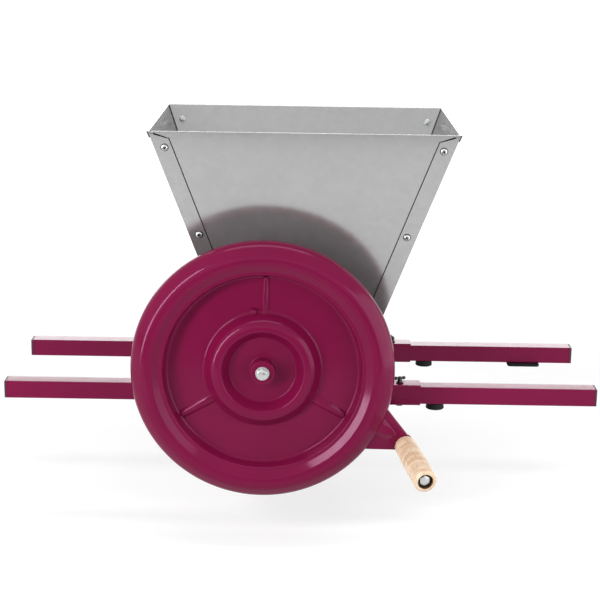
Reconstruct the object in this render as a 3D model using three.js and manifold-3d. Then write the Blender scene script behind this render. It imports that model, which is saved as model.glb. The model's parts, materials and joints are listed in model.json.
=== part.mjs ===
// Hand-cranked apple scratter: a sheet-metal hopper over a toothed crushing drum, a pressed flywheel
// with a crank grip on its ear, and four carrying arms that slide in two sleeves.
//
// Frame: +X to the right along the arms, +Y away from the flywheel, +Z up, in millimetres.
// The origin is the middle of the plane that the four feet stand on.

import * as THREE from 'three';
import { mergeVertices } from 'three/addons/utils/BufferGeometryUtils.js';
import { ConvexGeometry } from 'three/addons/geometries/ConvexGeometry.js';
import Module from 'manifold-3d';

const wasm = await Module();
wasm.setup();

// Clearances
const seat_gap = 0.3;                  // between pieces that seat on each other
const bore_gap = 0.3;                  // all round a rod in its hole
const overlap = 0.5;                   // how far joined shapes of one piece run into each other
const cut_over = 1;                    // how far a cutting shape runs past a face

// Carrying arms, their caps and the sleeves
const frame_length = 841;              // over the end caps
const arm_size = 25;
const arm_wall = 2;
const arm_insertion = 110;             // how deep an arm sits in its sleeve
const rail_spacing = 214;              // front arm centre to rear arm centre
const sleeve_length = 340;
const sleeve_wall = 1.5;
const sleeve_play = 1.5;               // sleeve bore over arm size
const cap_flange = 2.5;
const cap_plug_depth = 14;
const cap_plug_play = 0.4;

// Feet and the flat pad
const foot_height = 9;
const foot_diameter = 25.5;
const foot_flare = 27;
const foot_flare_height = 4;
const foot_from_sleeve = 22;           // foot centre beyond the sleeve's end
const foot_stem_diameter = 8;
const foot_stem_head = 10.4;
const foot_stem_head_height = 3;
const pad_length = 49;
const pad_overhang = 9;                // past each side of the arm
const pad_thickness = 3.4;
const pad_from_end = 75;               // pad centre back from the arm's outer end
const pad_corner = 5;

// Clamp bolts
const clamp_from_sleeve_end = 29;
const clamp_bolt_diameter = 6;
const clamp_collar_diameter = 11;
const clamp_collar_height = 1.6;
const clamp_bar_length = 17;
const clamp_bar_diameter = 3.4;
const clamp_ball_diameter = 5.2;
const clamp_bar_height = 7;            // above the sleeve's top
const clamp_bar_turns = { front: 17, rear: 75 };    // degrees
const clamp_boss_diameter = 12;
const clamp_boss_height = 4;
const clamp_boss_floor = 1;
const arm_travel_out = 60;
const arm_travel_in = 8;

// Crusher housing
const housing_half_width = 116.5;
const housing_height = 119.5;
const cheek_thickness = 3;
const side_plate_thickness = 2;

// Drum, shaft and bearings
const axis_x = -52.5;
const axis_height = 72.5;
const shaft_diameter = 20;
const shaft_nose_diameter = 16;
const shaft_tail = 36;                 // past the rear cheek
const shaft_spacer_diameter = 28;
const drum_diameter = 80;
const drum_side_gap = 6;               // drum end to cheek
const blade_count = 6;
const blade_thickness = 3;
const blade_seat_depth = 13;
const blade_height = 28;               // from the seat's floor to the tips of the teeth
const tooth_pitch = 13.6;
const tooth_depth = 9;
const drum_pin_diameter = 6;
const drum_pin_from_end = 18;
const drum_pin_sink = 3;               // below the drum's skin at each end
const bearing_flange_diameter = 58;
const bearing_flange_thickness = 6;
const bearing_hub_diameter = 36;
const bearing_hub_length = 16;
const bearing_spigot_diameter = 30;
const collar_diameter = 34;
const collar_width = 10;

// Pressure plate
const pressure_plate_thickness = 3;
const pressure_plate_gap = 7;          // teeth to plate
const pressure_plate_side_gap = 4;
const pressure_plate_flange = 19;
const pressure_arc_start = -8;         // degrees from +X, seen from the front
const pressure_arc_end = -55;
const pressure_bolt_spread = 96;
const pressure_bolt_diameter = 6;
const pressure_bolt_flats = 10;
const pressure_bolt_head = 4;
const pressure_nut_height = 5;

// Hopper
const hopper_half_width = 211.5;
const hopper_half_depth = 152;
const hopper_rim_height = 397;
const hopper_skirt = 12;               // vertical stretch inside the housing
const sheet = 1;
const hem_height = 9;
const hem_hollow = 0.8;
const lap_width = 24;                  // side panel's flange over the front and back panels
const lap_gap = 1.5;                   // between a lap's cut ends and what they face
const hopper_screws_below_rim = [22.5, 147];
const hopper_screw_inset = 14;
const hopper_screw_diameter = 5;
const hopper_screw_head = 9;
const hopper_screw_head_height = 2.8;
const hopper_nut_flats = 8;
const hopper_nut_height = 4;
const hopper_screw_end = 1.4;          // thread past the nut

// Flywheel: depths are behind the rim's front crest
const flywheel_front = -195.5;         // Y of the rim's front crest
const flywheel_radius = 182;
const flywheel_sheet = 3;
const floor_radius = 46;
const floor_depth = 24;
const ring_inner_radius = 57;
const ring_outer_radius = 68;
const ring_depth = 9.5;
const web_inner_radius = 81.5;
const web_depth = 26;
const web_outer_radius = 134;
const rim_land_radius = 137;           // narrow land part way up the rim's inner wall
const rim_land_width = 5;
const rim_land_depth = 7.5;
const rim_crest_inner = 152;
const rim_crest_outer = 162;
const crest_dip = 0.6;                 // both sides of the crest behind its middle
const rim_shoulder_depth = 16;         // where the rim reaches its full radius
const rim_curl_depth = 22;             // where its rear edge starts to turn in
const rim_depth = 31;
const rim_curl = 9;                    // how far the rear edge turns in
const rib_width = 14;
const rib_rise = 3;
const rib_angles = [88.5, 211, 330];
const pip_distance = 83;
const pip_angle = 99;
const pip_radius = 4.2;
const hub_diameter = 34;
const hub_front_depth = 5.5;
const hub_length = 44;
const key_size = 5;
const key_length = 24;
const key_from_hub_front = 10;
const hub_bolt_diameter = 8;
const hub_bolt_length = 30;
const hub_washer_diameter = 19;
const washer_thickness = 1.6;
const hex_head_flats = 13;
const hex_head_height = 5.3;

// Crank ear and grip
const crank_drop = 28.3;               // degrees below horizontal
const ear_tilt = 12;                   // degrees that the ear slopes back
const ear_root_radius = 168.8;
const ear_root_depth = 12;
const ear_thickness = 3;
const ear_flange = 5;
const ear_root_top = 40.3;             // the ear's reach above its middle at the root
const ear_root_bottom = 33.5;
const ear_end_radius = 11.6;
const ear_end_rise = 2.4;              // end's centre above the grip bolt
const ear_ridge_height = 4;
const crank_radius = 226.3;
const grip_length = 113;
const grip_base_diameter = 29.5;
const grip_diameter = 31.5;
const grip_tip_diameter = 31;
const grip_rounding = 3;
const grip_counterbore = 20;
const grip_counterbore_depth = 9;
const grip_bolt_diameter = 8;
const grip_nut_height = 6.5;
const grip_bolt_end = 1.5;             // thread past the nut

// Heights and places that follow from the sizes above
const degrees = Math.PI / 180;
const hopper_screw_heights = hopper_screws_below_rim.map(drop => hopper_rim_height - drop);
const arm_bottom = foot_height;
const arm_top = arm_bottom + arm_size;
const arm_middle = (arm_bottom + arm_top) / 2;
const arm_end = frame_length / 2;
const sleeve_bore = arm_size + sleeve_play;
const sleeve_size = sleeve_bore + 2 * sleeve_wall;
const sleeve_bottom = arm_bottom - seat_gap - sleeve_wall;
const sleeve_top = sleeve_bottom + sleeve_size;
const sleeve_end = sleeve_length / 2;
const arm_inner_end = sleeve_end - arm_insertion;
const rail_y = rail_spacing / 2;
const foot_x = sleeve_end + foot_from_sleeve;
const clamp_x = sleeve_end - clamp_from_sleeve_end;
const clamp_hole_radius = clamp_bolt_diameter / 2 + bore_gap;
const clamp_boss_bottom = sleeve_bottom - clamp_boss_height;
const cheek_outer = rail_y - sleeve_size / 2 - seat_gap;
const cheek_inner = cheek_outer - cheek_thickness;
const housing_top = sleeve_bottom + housing_height;
const side_plate_inner = housing_half_width - side_plate_thickness;
const shaft_radius = shaft_diameter / 2;
const nose_radius = shaft_nose_diameter / 2;
const drum_half_length = cheek_inner - drum_side_gap;
const blade_seat_radius = drum_diameter / 2 - blade_seat_depth;
const tooth_tip_radius = blade_seat_radius + blade_height;
const bearing_face = cheek_outer + seat_gap;
const bearing_end = bearing_face + bearing_flange_thickness + bearing_hub_length;
const hub_front = flywheel_front + hub_front_depth;
const hub_rear = hub_front + hub_length;
const hub_bore_radius = nose_radius + bore_gap;
const grip_bore_radius = grip_bolt_diameter / 2 + bore_gap;
const ear_cosine = Math.cos(ear_tilt * degrees);
const grip_from_root = (crank_radius - ear_root_radius) / ear_cosine;

// Solids from three.js geometry

// A closed geometry as a solid, with its faces pointing out.
function solid(geometry) {
  const bare = geometry.clone();
  bare.deleteAttribute('normal');
  bare.deleteAttribute('uv');
  const merged = mergeVertices(bare, 1e-4);
  const points = merged.attributes.position.array;
  const index = merged.index.array;
  const corner = i => new THREE.Vector3().fromArray(points, 3 * i);
  const triangles = [];
  let volume = 0;
  for (let i = 0; i < index.length; i += 3) {
    const [a, b, c] = index.slice(i, i + 3);
    if (a === b || b === c || c === a) continue;
    triangles.push([a, b, c]);
    volume += corner(a).dot(corner(b).cross(corner(c)));
  }
  const facing_out = volume > 0 ? triangles : triangles.map(([a, b, c]) => [a, c, b]);
  return new wasm.Manifold(new wasm.Mesh({
    numProp: 3,
    vertProperties: new Float32Array(points),
    triVerts: new Uint32Array(facing_out.flat()),
  }));
}

function geometry_of(body) {
  const mesh = body.getMesh();
  const geometry = new THREE.BufferGeometry();
  geometry.setAttribute('position', new THREE.BufferAttribute(mesh.vertProperties, 3));
  geometry.setIndex(new THREE.BufferAttribute(mesh.triVerts, 1));
  const faceted = geometry.toNonIndexed();
  faceted.computeVertexNormals();
  return faceted;
}

function moved(body, matrix) {
  return solid(geometry_of(body).applyMatrix4(matrix));
}

function join(first, ...others) {
  return others.reduce((whole, other) => whole.add(other), first);
}

function cut(first, ...others) {
  return others.reduce((whole, other) => whole.subtract(other), first);
}

function span(a, b) {
  return [Math.min(a, b), Math.max(a, b)];
}

function box([x0, x1], [y0, y1], [z0, z1]) {
  const block = new THREE.BoxGeometry(x1 - x0, y1 - y0, z1 - z0);
  return solid(block.translate((x0 + x1) / 2, (y0 + y1) / 2, (z0 + z1) / 2));
}

function rod_x(radius, [x0, x1], sides = 12, [y, z] = [0, 0]) {
  const rod = new THREE.CylinderGeometry(radius, radius, x1 - x0, sides);
  return solid(rod.rotateZ(Math.PI / 2).translate((x0 + x1) / 2, y, z));
}

function rod_y(radius, [y0, y1], sides = 24, [x, z] = [0, 0]) {
  const rod = new THREE.CylinderGeometry(radius, radius, y1 - y0, sides);
  return solid(rod.translate(x, (y0 + y1) / 2, z));
}

function rod_z(radius, [z0, z1], sides = 12, [x, y] = [0, 0]) {
  const rod = new THREE.CylinderGeometry(radius, radius, z1 - z0, sides);
  return solid(rod.rotateX(Math.PI / 2).translate(x, y, (z0 + z1) / 2));
}

function hexagon_x(flats, x_span, place = [0, 0]) {
  return rod_x(flats / Math.sqrt(3), x_span, 6, place);
}

function hexagon_y(flats, y_span) {
  return rod_y(flats / Math.sqrt(3), y_span, 6);
}

function turned_y(profile, sides) {
  return solid(new THREE.LatheGeometry(profile.map(([r, y]) => new THREE.Vector2(r, y)), sides));
}

function turned_z(profile, sides, [x, y] = [0, 0]) {
  const lathe = new THREE.LatheGeometry(profile.map(([r, z]) => new THREE.Vector2(r, z)), sides);
  return solid(lathe.rotateX(Math.PI / 2).translate(x, y, 0));
}

function ball(radius, [x, y, z]) {
  return solid(new THREE.SphereGeometry(radius, 8, 5).translate(x, y, z));
}

function hull(points) {
  return solid(new ConvexGeometry(points.map(p => new THREE.Vector3(...p))));
}

function extruded(shape, depth, curve_steps) {
  return new THREE.ExtrudeGeometry(shape, { depth, bevelEnabled: false, curveSegments: curve_steps });
}

// Points of a quadratic bend from one point to another, without the first.
function bend(from, corner, to, steps) {
  const curve = new THREE.QuadraticBezierCurve(...[from, corner, to].map(p => new THREE.Vector2(...p)));
  return curve.getPoints(steps).slice(1).map(p => [p.x, p.y]);
}

// Finishes
const paint = new THREE.MeshStandardMaterial({ color: 0x861c49, roughness: 0.32, metalness: 0.1 });
const grey_sheet = new THREE.MeshStandardMaterial({ color: 0xb0b0b0, roughness: 0.42, metalness: 0.5 });
const zinc = new THREE.MeshStandardMaterial({ color: 0xc9ccca, roughness: 0.3, metalness: 0.9 });
const dark_steel = new THREE.MeshStandardMaterial({ color: 0x3a3a3c, roughness: 0.4, metalness: 0.8 });
const stainless = new THREE.MeshStandardMaterial({ color: 0xbfc1c2, roughness: 0.3, metalness: 0.9 });
const cast_aluminium = new THREE.MeshStandardMaterial({ color: 0xa9abad, roughness: 0.5, metalness: 0.9 });
const black_plastic = new THREE.MeshStandardMaterial({ color: 0x23191e, roughness: 0.5, metalness: 0 });
const black_rubber = new THREE.MeshStandardMaterial({ color: 0x252527, roughness: 0.8, metalness: 0 });
const beech = new THREE.MeshStandardMaterial({ color: 0xd8b992, roughness: 0.6, metalness: 0 });

// The scene graph

function group_in(parent, [x, y, z] = [0, 0, 0]) {
  const group = new THREE.Group();
  group.position.set(x, y, z);
  parent.add(group);
  return group;
}

function place(parent, name, body, material) {
  const mesh = new THREE.Mesh(geometry_of(body), material);
  mesh.name = name;
  parent.add(mesh);
  return mesh;
}

const scratter = new THREE.Group();

// Sleeve: a square tube along one side of the housing, with a painted nut boss under each end.
function sleeve_body() {
  const half = sleeve_size / 2;
  const half_bore = sleeve_bore / 2;
  const boss_radius = clamp_boss_diameter / 2;
  const ends = [-clamp_x, clamp_x];
  const tube = box([-sleeve_end, sleeve_end], [-half, half], [sleeve_bottom, sleeve_top]);
  const bore = box(
    [-sleeve_end - cut_over, sleeve_end + cut_over],
    [-half_bore, half_bore],
    [sleeve_bottom + sleeve_wall, sleeve_top - sleeve_wall]);
  const boss_profile = [
    [0, clamp_boss_bottom],
    ...bend([boss_radius * 0.4, clamp_boss_bottom], [boss_radius, clamp_boss_bottom],
      [boss_radius, sleeve_bottom], 2),
    [boss_radius, sleeve_bottom + overlap],
    [0, sleeve_bottom + overlap],
  ];
  const bosses = ends.map(x => turned_z(boss_profile, 14, [x, 0]));
  const hole_z = [clamp_boss_bottom + clamp_boss_floor, sleeve_top + cut_over];
  const holes = ends.map(x => rod_z(clamp_hole_radius, hole_z, 12, [x, 0]));
  return cut(join(tube, ...bosses), bore, ...holes);
}

// Carrying arm, drawn for the +X side: a square tube with a slot for the clamp bolt through its top
// and bottom walls and a hole for the foot's stem.
function arm_body() {
  const half = arm_size / 2;
  const hollow = half - arm_wall;
  const tube = box([arm_inner_end, arm_end - cap_flange - seat_gap], [-half, half], [arm_bottom, arm_top]);
  const bore = box(
    [arm_inner_end - cut_over, arm_end],
    [-hollow, hollow],
    [arm_bottom + arm_wall, arm_top - arm_wall]);
  const slot = new THREE.Shape();
  slot.absarc(clamp_x + arm_travel_in, 0, clamp_hole_radius, -0.5 * Math.PI, 0.5 * Math.PI, false);
  slot.absarc(clamp_x - arm_travel_out, 0, clamp_hole_radius, 0.5 * Math.PI, 1.5 * Math.PI, false);
  const slot_cut = extruded(slot, arm_size + 2 * cut_over, 6).translate(0, 0, arm_bottom - cut_over);
  const stem_hole = rod_z(
    foot_stem_diameter / 2 + bore_gap, [arm_bottom - cut_over, arm_middle], 12, [foot_x, 0]);
  return cut(tube, bore, solid(slot_cut), stem_hole);
}

// End cap: a square flange over the tube's end and a hollow plug inside it.
function cap_body() {
  const half = arm_size / 2;
  const plug = half - arm_wall - cap_plug_play;
  const hollow = plug - arm_wall;
  const flange_x = arm_end - cap_flange;
  const flange = box([flange_x, arm_end], [-half, half], [arm_bottom, arm_top]);
  const block = box(
    [flange_x - cap_plug_depth, flange_x + overlap],
    [-plug, plug],
    [arm_middle - plug, arm_middle + plug]);
  const pocket = box(
    [flange_x - cap_plug_depth - cut_over, flange_x],
    [-hollow, hollow],
    [arm_middle - hollow, arm_middle + hollow]);
  return cut(join(flange, block), pocket);
}

// Foot: a rubber disc with a flared lower edge, held by its stem and snap head in the arm's wall.
function foot_body() {
  const stem = foot_stem_diameter / 2;
  const disc_top = arm_bottom - seat_gap;
  const wall_top = arm_bottom + arm_wall + seat_gap;
  const snap_top = wall_top + foot_stem_head_height;
  const flare = foot_flare / 2;
  const edge = foot_flare_height / 3;
  return turned_z([
    [0, 0],
    [flare - edge, 0],
    ...bend([flare - edge, 0], [flare, 0], [flare, edge], 2),
    [foot_diameter / 2, foot_flare_height],
    [foot_diameter / 2, disc_top],
    [stem, disc_top],
    [stem, wall_top],
    [foot_stem_head / 2, wall_top],
    [stem, snap_top],
    [0, snap_top],
  ], 18, [foot_x, 0]);
}

// Flat pad under one arm, wider than the arm and with rounded corners.
function pad_body() {
  const half_length = pad_length / 2 - pad_corner;
  const half_width = arm_size / 2 + pad_overhang - pad_corner;
  const corners = [
    [half_length, half_width],
    [-half_length, half_width],
    [-half_length, -half_width],
    [half_length, -half_width],
  ];
  const shape = new THREE.Shape();
  corners.forEach(([x, y], quarter) => {
    shape.absarc(x, y, pad_corner, quarter * Math.PI / 2, (quarter + 1) * Math.PI / 2, false);
  });
  const plate = extruded(shape, pad_thickness, 4);
  return solid(plate.translate(arm_end - pad_from_end, 0, arm_bottom - seat_gap - pad_thickness));
}

// Clamp bolt: a threaded stem through the sleeve and the arm's slots, a collar and a T bar with balls.
function clamp_bolt_body() {
  const bar_z = sleeve_top + clamp_bar_height;
  const bar_half = (clamp_bar_length - clamp_ball_diameter) / 2;
  const collar_bottom = sleeve_top + seat_gap;
  const stem_bottom = clamp_boss_bottom + clamp_boss_floor + seat_gap;
  return join(
    rod_z(clamp_bolt_diameter / 2, [stem_bottom, bar_z]),
    rod_z(clamp_collar_diameter / 2, [collar_bottom, collar_bottom + clamp_collar_height], 14),
    rod_x(clamp_bar_diameter / 2, [-bar_half, bar_half], 8, [0, bar_z]),
    ball(clamp_ball_diameter / 2, [-bar_half, 0, bar_z]),
    ball(clamp_ball_diameter / 2, [bar_half, 0, bar_z]));
}

for (const [end, y_sign] of [['front', -1], ['rear', 1]]) {
  const rail = group_in(scratter, [0, y_sign * rail_y, 0]);
  place(rail, `${end}_sleeve`, sleeve_body(), paint);
  for (const [side, turn] of [['left', Math.PI], ['right', 0]]) {
    const label = `${end}_${side}`;
    const carrier = group_in(rail);
    carrier.rotation.z = turn;
    place(carrier, `${label}_arm`, arm_body(), paint);
    place(carrier, `${label}_end_cap`, cap_body(), black_plastic);
    place(carrier, `${label}_foot`, foot_body(), black_rubber);
    if (label === 'rear_right') place(carrier, `${label}_pad`, pad_body(), black_rubber);
    const clamp = group_in(carrier, [clamp_x, 0, 0]);
    clamp.rotation.z = clamp_bar_turns[end] * degrees - turn;
    place(clamp, `${label}_clamp_bolt`, clamp_bolt_body(), dark_steel);
  }
}

// Crusher housing: front and rear cheek plates against the sleeves, with a plate on each side
// between them, open above and below.

const housing = group_in(scratter);

function cheek_body(y_sign) {
  const plate = box(
    [-housing_half_width, housing_half_width],
    span(y_sign * cheek_inner, y_sign * cheek_outer),
    [sleeve_bottom, housing_top]);
  const hole_y = span(y_sign * (cheek_inner - cut_over), y_sign * (cheek_outer + cut_over));
  const spigot_hole = rod_y(
    bearing_spigot_diameter / 2 + bore_gap, hole_y, 24, [axis_x, axis_height]);
  return cut(plate, spigot_hole);
}

// Skirt and slope of the hopper decide where the pressure plate's flange may start.
const skirt_bottom = housing_top - hopper_skirt;
const pressure_flange_top = skirt_bottom - lap_gap;
const pressure_flange_bottom = pressure_flange_top - pressure_plate_flange;
const pressure_bolt_height = (pressure_flange_top + pressure_flange_bottom) / 2;
const pressure_bolt_ys = [-pressure_bolt_spread / 2, pressure_bolt_spread / 2];

function pressure_bolt_holes(x_span) {
  const radius = pressure_bolt_diameter / 2 + bore_gap;
  return pressure_bolt_ys.map(y => rod_x(radius, x_span, 12, [y, pressure_bolt_height]));
}

function side_plate_body(x_sign) {
  const half = cheek_inner - seat_gap;
  const plate = box(
    span(x_sign * side_plate_inner, x_sign * housing_half_width),
    [-half, half],
    [sleeve_bottom, housing_top]);
  const has_bolts = x_sign > 0;
  return has_bolts
    ? cut(plate, ...pressure_bolt_holes([side_plate_inner - cut_over, housing_half_width + cut_over]))
    : plate;
}

// Flange bearing: a spigot in the cheek's hole, a round flange on its outside and a hub.
function bearing_body(y_sign) {
  const bore = shaft_radius + bore_gap;
  const inner_end = cheek_inner + seat_gap;
  const flange_end = bearing_face + bearing_flange_thickness;
  const ring = [
    [bore, inner_end],
    [bearing_spigot_diameter / 2, inner_end],
    [bearing_spigot_diameter / 2, bearing_face],
    [bearing_flange_diameter / 2, bearing_face],
    [bearing_flange_diameter / 2, flange_end],
    [bearing_hub_diameter / 2, flange_end],
    [bearing_hub_diameter / 2, bearing_end],
    [bore, bearing_end],
    [bore, inner_end],
  ];
  return turned_y(ring.map(([r, y]) => [r, y_sign * y]), 24);
}

// Pressure plate: a flange bolted to the right side plate, a slope down to the drum and an arc round
// it. Its outline is in X and Z.
function pressure_plate_body() {
  const inner_radius = tooth_tip_radius + pressure_plate_gap;
  const outer_radius = inner_radius + pressure_plate_thickness;
  const start = pressure_arc_start * degrees;
  const end = pressure_arc_end * degrees;
  const flange_outer = side_plate_inner - seat_gap;
  const flange_inner = flange_outer - pressure_plate_thickness;
  const slope_foot = [axis_x + outer_radius * Math.cos(start), axis_height + outer_radius * Math.sin(start)];
  const slope = (pressure_flange_bottom - slope_foot[1]) / (flange_outer - slope_foot[0]);
  const rise = pressure_plate_thickness * Math.hypot(1, slope);
  const shape = new THREE.Shape();
  shape.moveTo(flange_outer, pressure_flange_top);
  shape.lineTo(flange_inner, pressure_flange_top);
  shape.lineTo(flange_inner, pressure_flange_bottom + rise - slope * pressure_plate_thickness);
  shape.absarc(axis_x, axis_height, inner_radius, start, end, true);
  shape.absarc(axis_x, axis_height, outer_radius, end, start, false);
  shape.lineTo(flange_outer, pressure_flange_bottom);
  const half_length = cheek_inner - pressure_plate_side_gap;
  const plate = extruded(shape, 2 * half_length, 8).rotateX(Math.PI / 2).translate(0, half_length, 0);
  return cut(solid(plate), ...pressure_bolt_holes([flange_inner - cut_over, flange_outer + cut_over]));
}

// A hexagon bolt from outside the side plate, with its nut on the flange's inner face.
function pressure_bolt_body(y) {
  const head_x = housing_half_width + seat_gap;
  const nut_x = side_plate_inner - 2 * seat_gap - pressure_plate_thickness;
  const axis = [y, pressure_bolt_height];
  return join(
    hexagon_x(pressure_bolt_flats, [head_x, head_x + pressure_bolt_head], axis),
    rod_x(pressure_bolt_diameter / 2, [nut_x - pressure_nut_height - 1, head_x + overlap], 12, axis),
    hexagon_x(pressure_bolt_flats, [nut_x - pressure_nut_height, nut_x], axis));
}

for (const [end, y_sign] of [['front', -1], ['rear', 1]]) {
  place(housing, `housing_${end}_cheek`, cheek_body(y_sign), paint);
  const bearing = group_in(housing, [axis_x, 0, axis_height]);
  place(bearing, `${end}_bearing`, bearing_body(y_sign), black_plastic);
}
place(housing, 'housing_left_plate', side_plate_body(-1), paint);
place(housing, 'housing_right_plate', side_plate_body(1), paint);
place(housing, 'pressure_plate', pressure_plate_body(), stainless);
pressure_bolt_ys.forEach((y, i) => {
  place(housing, `pressure_plate_bolt_${i + 1}`, pressure_bolt_body(y), zinc);
});

// Hopper: four panels that flare from the housing to a hemmed rim. The side panels lap over the front
// and back panels and are screwed to them. half_x and half_y give the panels' outer faces.

const hopper = group_in(scratter);
const slope_rise = hopper_rim_height - housing_top;
const skirt_half_x = side_plate_inner - seat_gap;
const skirt_half_y = cheek_inner - seat_gap;
const slope_x = (hopper_half_width - hem_hollow - sheet - skirt_half_x) / slope_rise;
const slope_y = (hopper_half_depth - hem_hollow - sheet - skirt_half_y) / slope_rise;
const half_x = z => skirt_half_x + Math.max(0, z - housing_top) * slope_x;
const half_y = z => skirt_half_y + Math.max(0, z - housing_top) * slope_y;
const wall_x = sheet * Math.hypot(1, slope_x);
const wall_y = sheet * Math.hypot(1, slope_y);
const lap_out = seat_gap + wall_y;     // the lap's outer face beyond the front panel's
const hem_bottom = hopper_rim_height - hem_height;

// A piece of sheet between two heights. reach(z) gives its two ends along the panel and through(z)
// its two faces across it.
function sheet_piece(to_point, heights, reach, through) {
  const corners = heights.flatMap(z => reach(z).flatMap(a => through(z).map(b => to_point(a, b, z))));
  return hull(corners);
}

function front_or_back_panel(y_sign) {
  const to_point = (a, b, z) => [a, y_sign * b, z];
  const end_x = z => half_x(z) - wall_x - seat_gap;
  const whole = z => [-end_x(z), end_x(z)];
  const hem_ends = z => {
    const share = (hopper_rim_height - z) / hem_height;
    const end = end_x(z) - share * (lap_width - wall_x);
    return [-end, end];
  };
  const wall = z => [half_y(z) - wall_y, half_y(z)];
  const fold = z => [half_y(z) + hem_hollow, half_y(z) + hem_hollow + wall_y];
  const rim_lip = [hopper_rim_height - sheet, hopper_rim_height];
  const panel = join(
    sheet_piece(to_point, [skirt_bottom, housing_top], whole, wall),
    sheet_piece(to_point, [housing_top, hopper_rim_height], whole, wall),
    sheet_piece(to_point, [hem_bottom, hopper_rim_height], hem_ends, fold),
    sheet_piece(to_point, rim_lip, hem_ends, z => [wall(z)[0], fold(z)[1]]));
  return cut(panel, ...hopper_screw_holes(y_sign));
}

function side_panel(x_sign) {
  const to_point = (a, b, z) => [x_sign * b, a, z];
  const along = out => z => [-half_y(z) - out, half_y(z) + out];
  const wall = z => [half_x(z) - wall_x, half_x(z)];
  const fold = z => [half_x(z) + hem_hollow, half_x(z) + hem_hollow + wall_x];
  const rim_lip = [hopper_rim_height - sheet, hopper_rim_height];
  const lap_bottom = housing_top + lap_gap;
  const lap_top_outer = hopper_rim_height - 2 * lap_gap;
  const lap_top_inner = hem_bottom - lap_gap;
  const pieces = [
    sheet_piece(to_point, [skirt_bottom, housing_top], along(0), wall),
    sheet_piece(to_point, [housing_top, hopper_rim_height], along(0), wall),
    sheet_piece(to_point, [lap_bottom, hopper_rim_height], along(lap_out), wall),
    sheet_piece(to_point, [hem_bottom, hopper_rim_height], along(lap_out), fold),
    sheet_piece(to_point, rim_lip, along(lap_out), z => [wall(z)[0], fold(z)[1]]),
  ];
  const laps = [-1, 1].map(y_sign => hull(
    [[0, lap_bottom], [lap_width, lap_bottom], [0, lap_top_outer], [lap_width, lap_top_inner]]
      .flatMap(([inset, z]) => [seat_gap, lap_out].map(out => [
        x_sign * (half_x(z) - inset), y_sign * (half_y(z) + out), z,
      ]))));
  const whole = join(...pieces, ...laps);
  return cut(whole, ...hopper_screw_holes(-1), ...hopper_screw_holes(1));
}

// Screw axes: local -Y points out of the front or back panel, and local Y = 0 is the lap's face.
function hopper_screw_place(x_sign, y_sign, z) {
  const lean = Math.atan(slope_y);
  const turn = y_sign < 0 ? 0 : Math.PI;
  const x = x_sign * (half_x(z) - hopper_screw_inset);
  const y = y_sign * (half_y(z) + lap_out);
  return new THREE.Matrix4().makeTranslation(x, y, z)
    .multiply(new THREE.Matrix4().makeRotationX(-y_sign * lean))
    .multiply(new THREE.Matrix4().makeRotationZ(turn));
}

function hopper_screw_holes(y_sign) {
  const drill = rod_y(hopper_screw_diameter / 2 + bore_gap, [-3 * sheet, 5 * sheet], 10);
  return [-1, 1].flatMap(x_sign => hopper_screw_heights.map(
    z => moved(drill, hopper_screw_place(x_sign, y_sign, z))));
}

// A round-headed screw through the lap and the panel, with its nut tightened inside the hopper.
function hopper_screw_body() {
  const head = hopper_screw_head / 2;
  const head_front = -seat_gap - hopper_screw_head_height;
  const nut_y = 2 * sheet + 2 * seat_gap;
  const nut_end = nut_y + hopper_nut_height;
  return join(
    turned_y([
      [0, head_front],
      [head * 0.55, head_front],
      ...bend([head * 0.55, head_front], [head, head_front], [head, -seat_gap], 2),
      [0, -seat_gap],
    ], 12),
    rod_y(hopper_screw_diameter / 2, [-seat_gap - overlap, nut_end + hopper_screw_end], 10),
    hexagon_y(hopper_nut_flats, [nut_y, nut_end]));
}

place(hopper, 'hopper_front_panel', front_or_back_panel(-1), grey_sheet);
place(hopper, 'hopper_back_panel', front_or_back_panel(1), grey_sheet);
place(hopper, 'hopper_left_panel', side_panel(-1), grey_sheet);
place(hopper, 'hopper_right_panel', side_panel(1), grey_sheet);
for (const [end, y_sign] of [['front', -1], ['back', 1]]) {
  for (const [side, x_sign] of [['left', -1], ['right', 1]]) {
    hopper_screw_heights.forEach((z, i) => {
      const screw = place(hopper, `hopper_screw_${end}_${side}_${i + 1}`, hopper_screw_body(), zinc);
      screw.applyMatrix4(hopper_screw_place(x_sign, y_sign, z));
    });
  }
}

// Rotor: everything that the crank turns. Local frame: Y along the shaft from the origin's plane.

const rotor = group_in(scratter, [axis_x, 0, axis_height]);
const pin_turn = Math.PI / blade_count;
const pin_y = drum_half_length - drum_pin_from_end;
const key_y = [hub_front + key_from_hub_front, hub_front + key_from_hub_front + key_length];
const key_top = nose_radius + key_size / 2;
const key_bottom = nose_radius - key_size / 2;

function cross_pin_hole() {
  const reach = drum_diameter / 2 + cut_over;
  const hole = rod_x(drum_pin_diameter / 2 + bore_gap, [-reach, reach], 16, [pin_y, 0]);
  return moved(hole, new THREE.Matrix4().makeRotationY(pin_turn));
}

function shaft_body() {
  const tail = cheek_outer + shaft_tail;
  const chamfer = 1.5;
  const nose_front = hub_front + seat_gap;
  const shoulder = hub_rear + seat_gap;
  const thread = hub_bolt_diameter / 2 + bore_gap;
  const thread_end = nose_front + hub_bolt_length + 2 * bore_gap;
  const shaft = turned_y([
    [0, thread_end],
    [thread, thread_end],
    [thread, nose_front],
    [nose_radius, nose_front],
    [nose_radius, shoulder],
    [shaft_radius, shoulder],
    [shaft_radius, tail - chamfer],
    [shaft_radius - chamfer, tail],
    [0, tail],
  ], 24);
  const half_key = key_size / 2 + bore_gap;
  const key_seat = box(
    [-half_key, half_key],
    [key_y[0] - seat_gap, key_y[1] + seat_gap],
    [key_bottom - seat_gap, nose_radius + cut_over]);
  return cut(shaft, key_seat, cross_pin_hole());
}

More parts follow.
